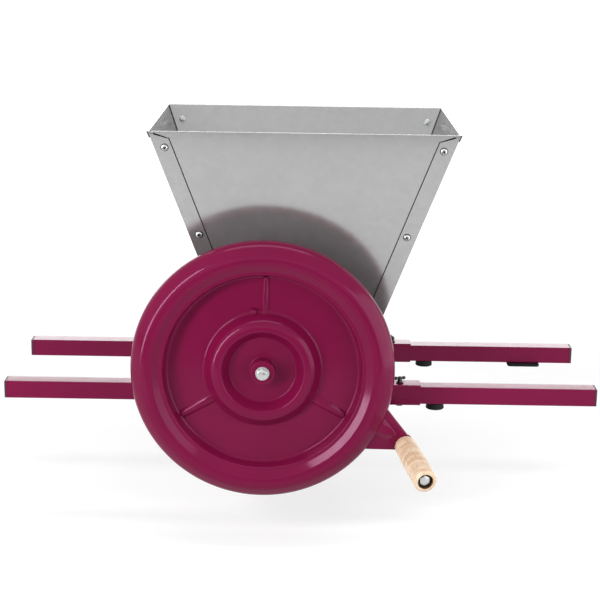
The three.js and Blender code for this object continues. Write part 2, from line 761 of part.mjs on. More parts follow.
function ring_on_shaft(diameter, y_span) {
  const bore = shaft_radius + bore_gap;
  return turned_y([
    [bore, y_span[0]],
    [diameter / 2, y_span[0]],
    [diameter / 2, y_span[1]],
    [bore, y_span[1]],
    [bore, y_span[0]],
  ], 24);
}

// Drum core: a round bar with a lengthwise seat for each toothed blade.
function drum_core_body() {
  const core = rod_y(drum_diameter / 2, [-drum_half_length, drum_half_length], 36);
  const bore = rod_y(
    shaft_radius + bore_gap, [-drum_half_length - cut_over, drum_half_length + cut_over]);
  const half_slot = blade_thickness / 2 + seat_gap;
  const seat = box(
    [blade_seat_radius - seat_gap, drum_diameter],
    [-drum_half_length - cut_over, drum_half_length + cut_over],
    [-half_slot, half_slot]);
  const seats = Array.from({ length: blade_count }, (_, i) => moved(
    seat, new THREE.Matrix4().makeRotationY(i * 2 * Math.PI / blade_count)));
  return cut(core, bore, ...seats, cross_pin_hole());
}

// Toothed blade, drawn in the plane of its radius (X) and the shaft (Y).
function blade_body() {
  const teeth = Math.floor(2 * drum_half_length / tooth_pitch);
  const first = -teeth * tooth_pitch / 2;
  const root = tooth_tip_radius - tooth_depth;
  const edge = [[root, -drum_half_length]];
  for (let i = 0; i < teeth; i += 1) {
    const y = first + i * tooth_pitch;
    edge.push([root, y + 0.1 * tooth_pitch]);
    edge.push([tooth_tip_radius, y + 0.5 * tooth_pitch]);
    edge.push([root, y + 0.9 * tooth_pitch]);
  }
  edge.push([root, drum_half_length]);
  edge.push([blade_seat_radius, drum_half_length], [blade_seat_radius, -drum_half_length]);
  const shape = new THREE.Shape(edge.map(([x, y]) => new THREE.Vector2(x, y)));
  return solid(extruded(shape, blade_thickness, 1).translate(0, 0, -blade_thickness / 2));
}

function drum_pin_body() {
  const reach = drum_diameter / 2 - drum_pin_sink;
  return rod_x(drum_pin_diameter / 2, [-reach, reach], 16, [pin_y, 0]);
}

// Front face of the flywheel's pressing, as radius and depth behind the rim's front crest.
function flywheel_face() {
  const ring_fall = [(ring_outer_radius + web_inner_radius) / 2, (ring_depth + web_depth) / 2];
  const foot = [web_outer_radius - 4, web_depth];
  const wall = [(web_outer_radius + rim_land_radius) / 2, (web_depth + rim_land_depth) / 2];
  const crest_end = [rim_crest_outer, crest_dip];
  const shoulder = [flywheel_radius, rim_shoulder_depth];
  return [
    [nose_radius + key_size, floor_depth],
    [floor_radius - 2, floor_depth],
    [floor_radius + 1.5, floor_depth - 2],
    [ring_inner_radius - 1.5, ring_depth + 2],
    [ring_inner_radius + 2, ring_depth],
    [ring_outer_radius - 7, ring_depth],
    ...bend([ring_outer_radius - 7, ring_depth], [ring_outer_radius, ring_depth], ring_fall, 3),
    ...bend(ring_fall, [web_inner_radius, web_depth], [web_inner_radius + 4, web_depth], 2),
    foot,
    ...bend(foot, [web_outer_radius, web_depth], wall, 2),
    [rim_land_radius, rim_land_depth],
    [rim_land_radius + rim_land_width, rim_land_depth],
    [rim_crest_inner, crest_dip],
    [(rim_crest_inner + rim_crest_outer) / 2, 0],
    crest_end,
    ...bend(crest_end, [rim_crest_outer + 9, crest_dip], shoulder, 4),
    [flywheel_radius, rim_curl_depth],
    ...bend([flywheel_radius, rim_curl_depth], [flywheel_radius, rim_depth],
      [flywheel_radius - rim_curl, rim_depth], 2),
  ];
}

// The same line moved back by the sheet's thickness.
function behind(face, thickness) {
  return face.map((point, i) => {
    const before = face[Math.max(0, i - 1)];
    const after = face[Math.min(face.length - 1, i + 1)];
    const run = [after[0] - before[0], after[1] - before[1]];
    const length = Math.hypot(...run);
    return [point[0] - thickness * run[1] / length, point[1] + thickness * run[0] / length];
  });
}

function crank_ear_place() {
  return new THREE.Matrix4().makeRotationY(crank_drop * degrees)
    .multiply(new THREE.Matrix4().makeTranslation(ear_root_radius, flywheel_front + ear_root_depth, 0))
    .multiply(new THREE.Matrix4().makeRotationZ(ear_tilt * degrees));
}

// Outline of the ear: straight edges from its root to a round end. X runs out from the root.
function ear_outline(inset, end_radius, y) {
  const points = [[-inset, y, ear_root_top - inset], [-inset, y, inset - ear_root_bottom]];
  for (let i = 0; i <= 10; i += 1) {
    const angle = (-100 + 20 * i) * degrees;
    points.push([
      grip_from_root + end_radius * Math.cos(angle),
      y,
      ear_end_rise + end_radius * Math.sin(angle),
    ]);
  }
  return points;
}

// Crank ear: a plate whose two long edges turn back, with a raised facet between rim and grip.
function ear_body() {
  const back = ear_thickness + ear_flange;
  const block = hull([...ear_outline(0, ear_end_radius, 0), ...ear_outline(0, ear_end_radius, back)]);
  const open_end = ear_end_radius + cut_over;
  const pocket = hull([
    ...ear_outline(ear_thickness, open_end, ear_thickness),
    ...ear_outline(ear_thickness, open_end, back + cut_over),
  ]);
  const grip_clear = grip_from_root - grip_diameter / 2 - 1;
  const facet_foot = [[6, 25], [6, -5], [28, 28], [30, -4], [grip_clear, 20], [grip_clear, 6]];
  const facet_top = [[9, 8], [13, 15], [26, 20], [35, 18], [38, 12], [28, 5], [11, 4]];
  const facet = hull([
    ...facet_foot.map(([x, z]) => [x, overlap, Math.min(z, ear_edge(x) - ear_thickness)]),
    ...facet_top.map(([x, z]) => [x, -ear_ridge_height, z]),
  ]);
  const bolt_hole = rod_y(grip_bore_radius, [-cut_over, back], 16, [grip_from_root, 0]);
  return cut(join(block, facet), pocket, bolt_hole);
}

// Height of the ear's upper edge above its middle line.
function ear_edge(x) {
  const end = ear_end_rise + ear_end_radius;
  return ear_root_top + (end - ear_root_top) * x / grip_from_root;
}

function rib_body() {
  const inner = ring_outer_radius + 6;
  const outer = web_outer_radius + 5;
  const half = rib_width / 2;
  const base = flywheel_front + web_depth + overlap;
  const top = flywheel_front + web_depth - rib_rise;
  return hull([
    ...[inner, outer].flatMap(x => [-half, half].map(z => [x, base, z])),
    ...[inner, outer].flatMap(x => [-half / 2, half / 2].map(z => [x, top, z])),
  ]);
}

function flywheel_body() {
  const face = flywheel_face();
  const back = behind(face, flywheel_sheet).reverse();
  const ring = [...face, ...back, face[0]].map(([r, depth]) => [r, flywheel_front + depth]);
  const ribs = rib_angles.map(angle => moved(
    rib_body(), new THREE.Matrix4().makeRotationY(-angle * degrees)));
  const pip = ball(pip_radius, [
    pip_distance * Math.cos(pip_angle * degrees),
    flywheel_front + web_depth + 1,
    pip_distance * Math.sin(pip_angle * degrees),
  ]);
  const hub = rod_y(hub_diameter / 2, [hub_front, hub_rear]);
  const bore = rod_y(hub_bore_radius, [hub_front - cut_over, hub_rear + cut_over]);
  const half_key = key_size / 2 + bore_gap;
  const keyway = box(
    [-half_key, half_key],
    [key_y[0] - seat_gap, hub_rear + cut_over],
    [0, key_top + seat_gap]);
  const ear = moved(ear_body(), crank_ear_place());
  return cut(join(turned_y(ring, 48), ...ribs, pip, hub, ear), bore, keyway);
}

function bolt_y_body(diameter, length, head_back) {
  return join(
    hexagon_y(hex_head_flats, [head_back - hex_head_height, head_back]),
    rod_y(diameter / 2, [head_back - overlap, head_back + length], 16));
}

function washer_body(diameter, hole_diameter, y_span) {
  const hole = hole_diameter / 2 + bore_gap;
  return turned_y([
    [hole, y_span[0]],
    [diameter / 2, y_span[0]],
    [diameter / 2, y_span[1]],
    [hole, y_span[1]],
    [hole, y_span[0]],
  ], 24);
}

const washer_back = hub_front - seat_gap;
const washer_front = washer_back - washer_thickness;
place(rotor, 'shaft', shaft_body(), stainless);
place(rotor, 'shaft_spacer', ring_on_shaft(shaft_spacer_diameter, [
  hub_rear + 2 * seat_gap, -bearing_end - seat_gap]), zinc);
place(rotor, 'shaft_collar', ring_on_shaft(collar_diameter, [
  bearing_end + seat_gap, bearing_end + seat_gap + collar_width]), zinc);
place(rotor, 'drum_core', drum_core_body(), cast_aluminium);
const drum_pin = place(rotor, 'drum_pin', drum_pin_body(), dark_steel);
drum_pin.rotation.y = pin_turn;
for (let i = 0; i < blade_count; i += 1) {
  const blade = place(rotor, `drum_blade_${i + 1}`, blade_body(), stainless);
  blade.rotation.y = i * 2 * Math.PI / blade_count;
}
place(rotor, 'flywheel', flywheel_body(), paint);
place(rotor, 'flywheel_key', box([-key_size / 2, key_size / 2], key_y, [key_bottom, key_top]), dark_steel);
place(rotor, 'hub_washer', washer_body(
  hub_washer_diameter, hub_bolt_diameter, [washer_front, washer_back]), zinc);
place(rotor, 'hub_bolt', bolt_y_body(
  hub_bolt_diameter, hub_bolt_length, washer_front - seat_gap), zinc);

// Crank grip: a turned wooden handle that spins on its bolt. Local frame: the ear's front face is
// Y = 0 and the grip's axis runs along -Y.

const crank = group_in(rotor);
crank.applyMatrix4(crank_ear_place());
const grip_axis = group_in(crank, [grip_from_root, 0, 0]);
const grip_base = -seat_gap;
const grip_tip = grip_base - grip_length;
const grip_seat = grip_tip + grip_counterbore_depth;

function grip_body() {
  const base_radius = grip_base_diameter / 2;
  const swell = grip_diameter / 2;
  const tip = grip_tip_diameter / 2;
  const swell_y = grip_base - 0.62 * grip_length;
  const tip_side = grip_tip + grip_rounding;
  return turned_y([
    [grip_bore_radius, grip_base],
    [base_radius - 1, grip_base],
    [base_radius, grip_base - 1],
    ...bend([base_radius, grip_base - 1], [swell, grip_base - 0.25 * grip_length], [swell, swell_y], 3),
    ...bend([swell, swell_y], [swell, tip_side + 8], [tip, tip_side], 2),
    ...bend([tip, tip_side], [tip, grip_tip], [tip - grip_rounding, grip_tip], 3),
    [grip_counterbore / 2, grip_tip],
    [grip_counterbore / 2, grip_seat],
    [grip_bore_radius, grip_seat],
    [grip_bore_radius, grip_base],
  ], 24);
}

const nut_front = ear_thickness + seat_gap;
const nut_back = nut_front + grip_nut_height;
const bolt_head_back = grip_seat - seat_gap;
place(grip_axis, 'crank_grip', grip_body(), beech);
place(grip_axis, 'grip_bolt', bolt_y_body(
  grip_bolt_diameter, nut_back + grip_bolt_end - bolt_head_back, bolt_head_back), zinc);
place(grip_axis, 'grip_nut', cut(
  hexagon_y(hex_head_flats, [nut_front, nut_back]),
  rod_y(grip_bore_radius, [nut_front - cut_over, nut_back + cut_over], 16)), zinc);

export default scratter;
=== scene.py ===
"""Dresses the packed model of a hand-cranked apple scratter, finishes it and puts it on a stage."""

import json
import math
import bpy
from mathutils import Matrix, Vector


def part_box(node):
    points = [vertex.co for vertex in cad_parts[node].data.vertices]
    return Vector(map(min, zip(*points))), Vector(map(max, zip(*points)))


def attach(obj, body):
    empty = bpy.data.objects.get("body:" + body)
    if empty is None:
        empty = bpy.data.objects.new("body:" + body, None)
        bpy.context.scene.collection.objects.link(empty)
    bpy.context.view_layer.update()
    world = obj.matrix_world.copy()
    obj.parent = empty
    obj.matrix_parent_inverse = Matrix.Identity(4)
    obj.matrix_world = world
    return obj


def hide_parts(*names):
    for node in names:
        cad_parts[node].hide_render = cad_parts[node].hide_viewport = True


bl_info = {
    "name": "Apple Scratter",
    "version": (1, 0, 0),
    "blender": (4, 5, 0),
    "location": "View3D > Sidebar > Scratter",
    "description": "Formed, turned and painted pieces of a hand-cranked apple scratter",
    "category": "Add Mesh",
}

import bmesh
import bpy
from bpy.props import FloatProperty, FloatVectorProperty, IntProperty, PointerProperty
from mathutils import Matrix, Vector
from mathutils.geometry import interpolate_bezier

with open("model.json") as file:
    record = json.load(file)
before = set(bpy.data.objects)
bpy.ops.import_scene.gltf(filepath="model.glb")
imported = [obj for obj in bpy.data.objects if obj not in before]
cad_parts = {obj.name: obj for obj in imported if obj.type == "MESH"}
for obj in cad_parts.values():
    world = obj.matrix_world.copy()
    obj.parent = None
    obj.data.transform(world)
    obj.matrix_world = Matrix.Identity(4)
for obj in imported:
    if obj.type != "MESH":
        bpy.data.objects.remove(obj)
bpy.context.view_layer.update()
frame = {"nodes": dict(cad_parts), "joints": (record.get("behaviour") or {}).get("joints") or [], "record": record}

MM = 0.001
X_AXIS = Vector((1, 0, 0))
Y_AXIS = Vector((0, 1, 0))
Z_AXIS = Vector((0, 0, 1))
ENDS = ("front", "rear")
SIDES = ("left", "right")
BODY_OF_NODE = {
    node: body for body, nodes in frame["record"]["behaviour"]["bodies"].items() for node in nodes
}
JOINTS = {joint["name"]: joint for joint in frame["joints"]}
CRANK_CENTRE = Vector(JOINTS["crank_turn"]["pos_m"])
SHAFT_CENTRE = Vector((CRANK_CENTRE.x, 0, CRANK_CENTRE.z))
GRIP_PLACE = Vector(JOINTS["grip_spin"]["pos_m"])
GRIP_AXIS = Vector(JOINTS["grip_spin"]["axis"]).normalized()


# Shapes


def rounded_line(points, steps=5):
    """A line through points (a, b) or (a, b, radius), with an arc of that radius in the corner."""
    line = []
    for i, point in enumerate(points):
        corner = Vector((point[0], point[1], 0.0))
        if len(point) < 3:
            line.append((corner.x, corner.y))
            continue
        before = (Vector((*points[i - 1][:2], 0.0)) - corner).normalized()
        after = (Vector((*points[(i + 1) % len(points)][:2], 0.0)) - corner).normalized()
        turn = math.pi - before.angle(after)
        reach = point[2] * math.tan(turn / 2)
        handle = point[2] * 4 / 3 * math.tan(turn / 4)
        start = corner + before * reach
        end = corner + after * reach
        curve = interpolate_bezier(start, start - before * handle, end - after * handle, end, steps + 1)
        line.extend((p.x, p.y) for p in curve)
    return line


def in_metres(points):
    """The same points with every number given in millimetres."""
    return [tuple(number * MM for number in point) for point in points]


def turned(line, axis, centre=(0, 0, 0), segments=96, closed=False):
    """A line of (radius, distance along the axis) spun round the axis."""
    shell = bmesh.new()
    axis = Vector(axis).normalized()
    centre = Vector(centre)
    out = axis.orthogonal().normalized()
    verts = [shell.verts.new(centre + out * radius + axis * along) for radius, along in line]
    edges = [shell.edges.new(pair) for pair in zip(verts, verts[1:])]
    if closed:
        edges.append(shell.edges.new((verts[-1], verts[0])))
    bmesh.ops.spin(shell, geom=verts + edges, cent=centre, axis=axis, angle=2 * math.pi,
                   steps=segments, use_merge=True)
    bmesh.ops.remove_doubles(shell, verts=shell.verts, dist=1e-6)
    bmesh.ops.recalc_face_normals(shell, faces=shell.faces)
    return shell


def rod(radius, start, end, axis=Z_AXIS, centre=(0, 0, 0), segments=32):
    """A round bar along an axis."""
    return turned([(0, start), (radius, start), (radius, end), (0, end)], axis, centre, segments)


def thread_line(radius, start, end, pitch=1.0 * MM, depth=0.4 * MM):
    """The outline of a thread from start to end, as (radius, distance) points."""
    turns = max(1, round(abs(end - start) / pitch))
    step = (end - start) / turns
    line = []
    for i in range(turns):
        line.append((radius - depth, start + i * step))
        line.append((radius, start + (i + 0.5) * step))
    line.append((radius - depth, end))
    return line


def block(low, high):
    """A box between two corners."""
    shell = bmesh.new()
    low, high = Vector(low), Vector(high)
    bmesh.ops.create_cube(shell, size=1.0)
    bmesh.ops.scale(shell, vec=high - low, verts=shell.verts)
    bmesh.ops.translate(shell, vec=(low + high) / 2, verts=shell.verts)
    return shell


def edges_along(shell, axis):
    """The edges that run along an axis."""
    found = []
    for edge in shell.edges:
        run = edge.verts[1].co - edge.verts[0].co
        if run.length > 0 and abs(run.normalized().dot(axis)) > 0.999:
            found.append(edge)
    return found


def edges_round(shell, axis, reach):
    """The edges of the flat end of a shell that faces along an axis and lies at that reach."""
    return [edge for edge in shell.edges
            if all(abs(vert.co.dot(axis) - reach) < 1e-6 for vert in edge.verts)]


def soften(shell, edges, width, segments=3):
    """Rounds the given edges."""
    bmesh.ops.bevel(shell, geom=list(edges), offset=width, offset_type="OFFSET", affect="EDGES",
                    segments=segments, profile=0.5, material=-1, clamp_overlap=True)
    return shell


def soften_sharp(shell, width, segments=2, least=40):
    """Rounds every edge whose faces meet at more than the least angle, in degrees."""
    sharp = [e for e in shell.edges if e.is_manifold and e.calc_face_angle(0.0) > math.radians(least)]
    return soften(shell, sharp, width, segments)


def hull(points):
    """The convex shape round some points."""
    shell = bmesh.new()
    for point in points:
        shell.verts.new(point)
    made = bmesh.ops.convex_hull(shell, input=shell.verts[:])
    inside = [g for g in made["geom_interior"] if isinstance(g, bmesh.types.BMVert)]
    bmesh.ops.delete(shell, geom=inside, context="VERTS")
    bmesh.ops.dissolve_limit(shell, angle_limit=math.radians(0.5), verts=shell.verts, edges=shell.edges)
    bmesh.ops.recalc_face_normals(shell, faces=shell.faces)
    return shell


def copy_of(node):
    """A merged copy of a packed node's mesh, with its flat faces made whole."""
    shell = bmesh.new()
    shell.from_mesh(frame["nodes"][node].data)
    bmesh.ops.remove_doubles(shell, verts=shell.verts, dist=2e-5)
    bmesh.ops.dissolve_limit(shell, angle_limit=math.radians(0.5), verts=shell.verts, edges=shell.edges)
    return shell


def square_tube(x_span, centre, size, wall, corner):
    """A square tube along X with rounded corners and open ends. centre is its (y, z)."""
    half = size / 2
    low = (x_span[0], centre[0] - half, centre[1] - half)
    high = (x_span[1], centre[0] + half, centre[1] + half)
    shell = block(low, high)
    ends = [face for face in shell.faces if abs(face.normal.x) > 0.5]
    bmesh.ops.delete(shell, geom=ends, context="FACES_ONLY")
    soften(shell, edges_along(shell, X_AXIS), corner, 6)
    bmesh.ops.recalc_face_normals(shell, faces=shell.faces)
    middle = Vector((0.0, *centre))
    face = shell.faces[:][0]
    outward = face.calc_center_median() - middle
    outward.x = 0.0
    if face.normal.dot(outward) < 0:
        bmesh.ops.reverse_faces(shell, faces=shell.faces)
    bmesh.ops.solidify(shell, geom=shell.faces[:] + shell.edges[:] + shell.verts[:], thickness=wall)
    return shell


def put_in_scene(name, shells):
    """One object from several shells, which are used up."""
    mesh = bpy.data.meshes.new(name)
    whole = bmesh.new()
    for shell in shells:
        shell.to_mesh(mesh)
        whole.from_mesh(mesh)
        shell.free()
    whole.to_mesh(mesh)
    whole.free()
    thing = bpy.data.objects.new(name, mesh)
    bpy.context.scene.collection.objects.link(thing)
    return thing


def carved(shell, tools, operation="DIFFERENCE"):
    """The shell after other shells are cut out of it, or after it is kept only inside them."""
    things = [put_in_scene("work", [shell])] + [put_in_scene("tool", [tool]) for tool in tools]
    for tool in things[1:]:
        cut = things[0].modifiers.new("Cut", "BOOLEAN")
        cut.operation = operation
        cut.solver = "EXACT"
        cut.object = tool
    bpy.context.view_layer.update()
    result = bmesh.new()
    result.from_object(things[0], bpy.context.evaluated_depsgraph_get())
    for thing in things:
        mesh = thing.data
        bpy.data.objects.remove(thing)
        bpy.data.meshes.remove(mesh)
    return result


def hex_prism(flats, low, high, dome=0.35):
    """A hexagon along Z with its corners chamfered at the top, as on a bolt's head or a nut."""
    prism = bmesh.new()
    radius = flats / math.sqrt(3)
    bmesh.ops.create_cone(prism, cap_ends=True, segments=6, radius1=radius, radius2=radius,
                          depth=high - low)
    bmesh.ops.translate(prism, vec=(0, 0, (low + high) / 2), verts=prism.verts)
    fall = (radius - flats / 2) * 2 * dome
    chamfer = turned([(0, low - MM), (radius + MM, low - MM), (radius + MM, high - fall - MM * dome * 2),
                      (flats / 2 * 0.96, high), (0, high)], Z_AXIS, segments=48)
    return carved(prism, [chamfer], "INTERSECT")


def aimed(shell, axis, place):
    """Moves a shell drawn along Z so that it points along an axis from a place."""
    turn = Vector(axis).to_track_quat("Z", "Y").to_matrix().to_4x4()
    bmesh.ops.transform(shell, matrix=Matrix.Translation(place) @ turn, verts=shell.verts)
    return shell


# Finishes


def node_tree(name):
    """A new material, its nodes and shader, and a pattern's Object coordinates."""
    material = bpy.data.materials.new(f"{name}_finish")
    material.use_nodes = True
    tree = material.node_tree
    shader = tree.nodes["Principled BSDF"]
    coordinates = tree.nodes.new("ShaderNodeTexCoord")
    return material, tree, shader, coordinates.outputs["Object"]


def mapped(tree, source, scale=(1, 1, 1), turn=(0, 0, 0), move=(0, 0, 0)):
    """Coordinates turned, stretched and moved by a Mapping node."""
    mapping = tree.nodes.new("ShaderNodeMapping")
    mapping.inputs["Location"].default_value = move
    mapping.inputs["Rotation"].default_value = turn
    mapping.inputs["Scale"].default_value = scale
    tree.links.new(source, mapping.inputs["Vector"])
    return mapping.outputs["Vector"]


def noise(tree, source, scale, detail=3.0, roughness=0.5, distortion=0.0):
    """A noise pattern's grey value."""
    texture = tree.nodes.new("ShaderNodeTexNoise")
    texture.inputs["Scale"].default_value = scale
    texture.inputs["Detail"].default_value = detail
    texture.inputs["Roughness"].default_value = roughness
    texture.inputs["Distortion"].default_value = distortion
    tree.links.new(source, texture.inputs["Vector"])
    return texture.outputs["Fac"]


def ramp(tree, source, stops):
    """A colour ramp with stops of (position, colour)."""
    made = tree.nodes.new("ShaderNodeValToRGB")
    elements = made.color_ramp.elements
    while len(elements) < len(stops):
        elements.new(0.5)
    for element, (position, colour) in zip(elements, stops):
        element.position = position
        element.color = (*colour[:3], 1.0)
    tree.links.new(source, made.inputs["Fac"])
    return made.outputs["Color"]


def ranged(tree, source, low, high, from_low=0.3, from_high=0.7):
    """A grey value spread over a new range."""
    made = tree.nodes.new("ShaderNodeMapRange")
    made.inputs["From Min"].default_value = from_low
    made.inputs["From Max"].default_value = from_high
    made.inputs["To Min"].default_value = low
    made.inputs["To Max"].default_value = high
    tree.links.new(source, made.inputs["Value"])
    return made.outputs["Result"]


def combined(tree, operation, first, second):
    """Two grey values put together by a Math node."""
    made = tree.nodes.new("ShaderNodeMath")
    made.operation = operation
    tree.links.new(first, made.inputs[0])
    tree.links.new(second, made.inputs[1])
    return made.outputs["Value"]


def length_of(tree, source):
    """How long a vector is, as a grey value."""
    made = tree.nodes.new("ShaderNodeVectorMath")
    made.operation = "LENGTH"
    tree.links.new(source, made.inputs[0])
    return made.outputs["Value"]


def bump(tree, shader, source, strength, distance, under=None):
    """Bump from a grey value, on top of another bump where one is given."""
    made = tree.nodes.new("ShaderNodeBump")
    made.inputs["Strength"].default_value = strength
    made.inputs["Distance"].default_value = distance
    tree.links.new(source, made.inputs["Height"])
    if under is not None:
        tree.links.new(under, made.inputs["Normal"])
    tree.links.new(made.outputs["Normal"], shader.inputs["Normal"])
    return made.outputs["Normal"]


def shade(base, factor):
    """A colour made lighter or darker."""
    return tuple(min(1.0, channel * factor) for channel in base[:3])


def clouded(tree, shader, source, base, *stops):
    """Colours the shader by a grey value, through stops of (position, factor on the base colour)."""
    colours = ramp(tree, source, [(position, shade(base, factor)) for position, factor in stops])
    tree.links.new(colours, shader.inputs["Base Color"])


def roughened(tree, shader, source, *spread):
    """Gives the shader a roughness spread from a grey value, as in ranged."""
    tree.links.new(ranged(tree, source, *spread), shader.inputs["Roughness"])


def wine_red_enamel(colours):
    """Glossy enamel over pressed sheet: faint flow in the coat and a little uneven sheen."""
    material, tree, shader, where = node_tree("wine_red_enamel")
    base = colours.enamel
    cloud = noise(tree, where, 9.0, 4.0)
    clouded(tree, shader, cloud, base, (0.3, 0.93), (0.7, 1.06))
    roughened(tree, shader, noise(tree, where, 60.0, 4.0), 0.12, 0.17)
    shader.inputs["Specular IOR Level"].default_value = 0.17
    shader.inputs["Specular Tint"].default_value = (1.0, 0.65, 0.9, 1.0)
    flow = bump(tree, shader, noise(tree, where, 40.0, 2.0), 0.1, 0.0006)
    bump(tree, shader, noise(tree, where, 420.0, 2.0), 0.04, 0.0002, flow)
    return material


def galvanized_sheet(colours):
    """Dull zinc-coated sheet with a faint spangle and fine rolling lines."""
    material, tree, shader, where = node_tree("galvanized_sheet")
    base = colours.sheet
    spangle = tree.nodes.new("ShaderNodeTexVoronoi")
    spangle.inputs["Scale"].default_value = 110.0
    tree.links.new(where, spangle.inputs["Vector"])
    grey = tree.nodes.new("ShaderNodeSeparateColor")
    tree.links.new(spangle.outputs["Color"], grey.inputs["Color"])
    mix = tree.nodes.new("ShaderNodeMath")
    mix.operation = "MULTIPLY_ADD"
    mix.inputs[1].default_value = 0.35
    tree.links.new(grey.outputs["Red"], mix.inputs[0])
    tree.links.new(noise(tree, where, 14.0, 5.0, 0.6), mix.inputs[2])
    clouded(tree, shader, mix.outputs["Value"], base, (0.35, 0.94), (0.95, 1.05))
    shader.inputs["Metallic"].default_value = 0.68
    roughened(tree, shader, mix.outputs["Value"], 0.14, 0.18, 0.4, 0.9)
    lines = noise(tree, mapped(tree, where, (18.0, 18.0, 900.0)), 1.0, 2.0)
    rolled = bump(tree, shader, lines, 0.05, 0.0002)
    bump(tree, shader, noise(tree, where, 6.0, 1.0), 0.15, 0.003, rolled)
    return material


def zinc_plated_steel(colours):
    """Bright zinc with a fine uneven bloom."""
    material, tree, shader, where = node_tree("zinc_plated_steel")
    base = colours.zinc
    bloom = noise(tree, where, 260.0, 5.0, 0.65)
    clouded(tree, shader, bloom, base, (0.3, 0.82), (0.7, 1.08))
    shader.inputs["Metallic"].default_value = 0.9
    roughened(tree, shader, bloom, 0.22, 0.42)
    bump(tree, shader, noise(tree, where, 900.0, 2.0), 0.1, 0.0001)
    return material


def dark_steel(colours):
    """Blackened steel, worn brighter in patches."""
    material, tree, shader, where = node_tree("dark_steel")
    base = colours.dark_steel
    wear = noise(tree, where, 190.0, 5.0, 0.6)
    clouded(tree, shader, wear, base, (0.35, 0.7), (0.62, 1.0), (0.8, 2.4))
    shader.inputs["Metallic"].default_value = 0.85
    roughened(tree, shader, wear, 0.28, 0.45)
    bump(tree, shader, noise(tree, where, 700.0, 2.0), 0.12, 0.0001)
    return material


def stainless_steel(colours):
    """Stainless steel with a fine brushed grain along Y."""
    material, tree, shader, where = node_tree("stainless_steel")
    base = colours.stainless
    grain = noise(tree, mapped(tree, where, (900.0, 14.0, 900.0)), 1.0, 3.0)
    clouded(tree, shader, grain, base, (0.3, 0.86), (0.7, 1.06))
    shader.inputs["Metallic"].default_value = 0.95
    roughened(tree, shader, grain, 0.2, 0.34)
    bump(tree, shader, grain, 0.06, 0.0001)
    return material


def cast_aluminium(colours):
    """Sand-cast aluminium, grainy and dull."""
    material, tree, shader, where = node_tree("cast_aluminium")
    base = colours.aluminium
    grain = noise(tree, where, 330.0, 6.0, 0.7)
    clouded(tree, shader, grain, base, (0.3, 0.78), (0.7, 1.08))
    shader.inputs["Metallic"].default_value = 0.85
    roughened(tree, shader, grain, 0.42, 0.6)
    bump(tree, shader, grain, 0.35, 0.0003)
    return material


def moulded_plastic(name, base, roughness):
    """Moulded plastic with a fine spark-eroded texture."""
    material, tree, shader, where = node_tree(name)
    clouded(tree, shader, noise(tree, where, 40.0, 3.0), base, (0.3, 0.85), (0.7, 1.15))
    roughened(tree, shader, noise(tree, where, 300.0, 3.0), roughness - 0.05, roughness + 0.05)
    bump(tree, shader, noise(tree, where, 1500.0, 2.0), 0.2, 0.0001)
    return material


def cap_plastic(colours):
    """The end caps' plastic."""
    return moulded_plastic("cap_plastic", colours.plastic, 0.42)


def bearing_plastic(colours):
    """The bearings' plastic."""
    return moulded_plastic("bearing_plastic", shade(colours.plastic, 0.8), 0.5)


def foot_rubber(colours):
    """Matt rubber with a little dust in its grain."""
    material, tree, shader, where = node_tree("foot_rubber")
    base = colours.rubber
    grain = noise(tree, where, 220.0, 5.0, 0.65)
    clouded(tree, shader, grain, base, (0.35, 0.85), (0.75, 1.35))
    roughened(tree, shader, grain, 0.62, 0.8)
    shader.inputs["Specular IOR Level"].default_value = 0.2
    bump(tree, shader, grain, 0.25, 0.0002)
    return material


def turned_beech(colours):
    """Beech with grain along the grip, short dark flecks, faint rings left by the lathe, and painted shade
    darkening the bolt's hole and its counterbore.
    """
    material, tree, shader, where = node_tree("turned_beech")
    base = colours.beech
    turn = GRIP_AXIS.to_track_quat("Z", "Y").to_matrix().transposed()
    local = mapped(tree, where, turn=turn.to_euler(), move=-(turn @ GRIP_PLACE))
    grain = noise(tree, mapped(tree, local, (150.0, 150.0, 9.0)), 1.0, 5.0, 0.6, 0.4)
    flecks = noise(tree, mapped(tree, local, (900.0, 900.0, 110.0)), 1.0, 2.0, 0.5)
    rings = noise(tree, mapped(tree, local, (22.0, 22.0, 70.0)), 1.0, 3.0, 0.55, 0.6)
    wood = ramp(tree, grain, [(0.25, shade(base, 0.88)), (0.5, base), (0.75, shade(base, 1.08))])
    streak = ramp(tree, rings, [(0.38, (0.84, 0.71, 0.61)), (0.56, (1.04, 1.02, 1.0))])
    dark = ramp(tree, flecks, [(0.3, (0.62, 0.48, 0.38)), (0.44, (1.0, 1.0, 1.0))])
    # Painted shade: the wood is darkened within 10.2 mm of the grip's axis, in the bolt's hole and counterbore,
    # which lie in shade.
    distance = length_of(tree, mapped(tree, local, (1.0, 1.0, 0.0)))
    painted_bore_shade = ramp(tree, ranged(tree, distance, 0.0, 1.0, 10.2 * MM, 10.7 * MM),
                [(0.0, (0.1, 0.07, 0.05)), (1.0, (1.0, 1.0, 1.0))])
    colour = wood
    for layer, share in ((streak, 1.0), (dark, 0.8), (painted_bore_shade, 1.0)):
        mix = tree.nodes.new("ShaderNodeMix")
        mix.data_type = "RGBA"
        mix.blend_type = "MULTIPLY"
        mix.inputs["Factor"].default_value = share
        tree.links.new(colour, mix.inputs["A"])
        tree.links.new(layer, mix.inputs["B"])
        colour = mix.outputs["Result"]
    tree.links.new(colour, shader.inputs["Base Color"])
    roughened(tree, shader, grain, 0.42, 0.55)
    shader.inputs["Coat Weight"].default_value = 0.12
    shader.inputs["Coat Roughness"].default_value = 0.35
    fibre = bump(tree, shader, grain, 0.15, 0.0002)
    bump(tree, shader, flecks, 0.1, 0.0001, fibre)
    return material


MAKERS = {maker.__name__: maker for maker in (
    wine_red_enamel, galvanized_sheet, zinc_plated_steel, dark_steel, stainless_steel,
    cast_aluminium, cap_plastic, bearing_plastic, foot_rubber, turned_beech)}


def finish_named(name):
    """The finish of that name, made once."""
    return bpy.data.materials.get(f"{name}_finish") or MAKERS[name](bpy.context.scene.scratter_colours)


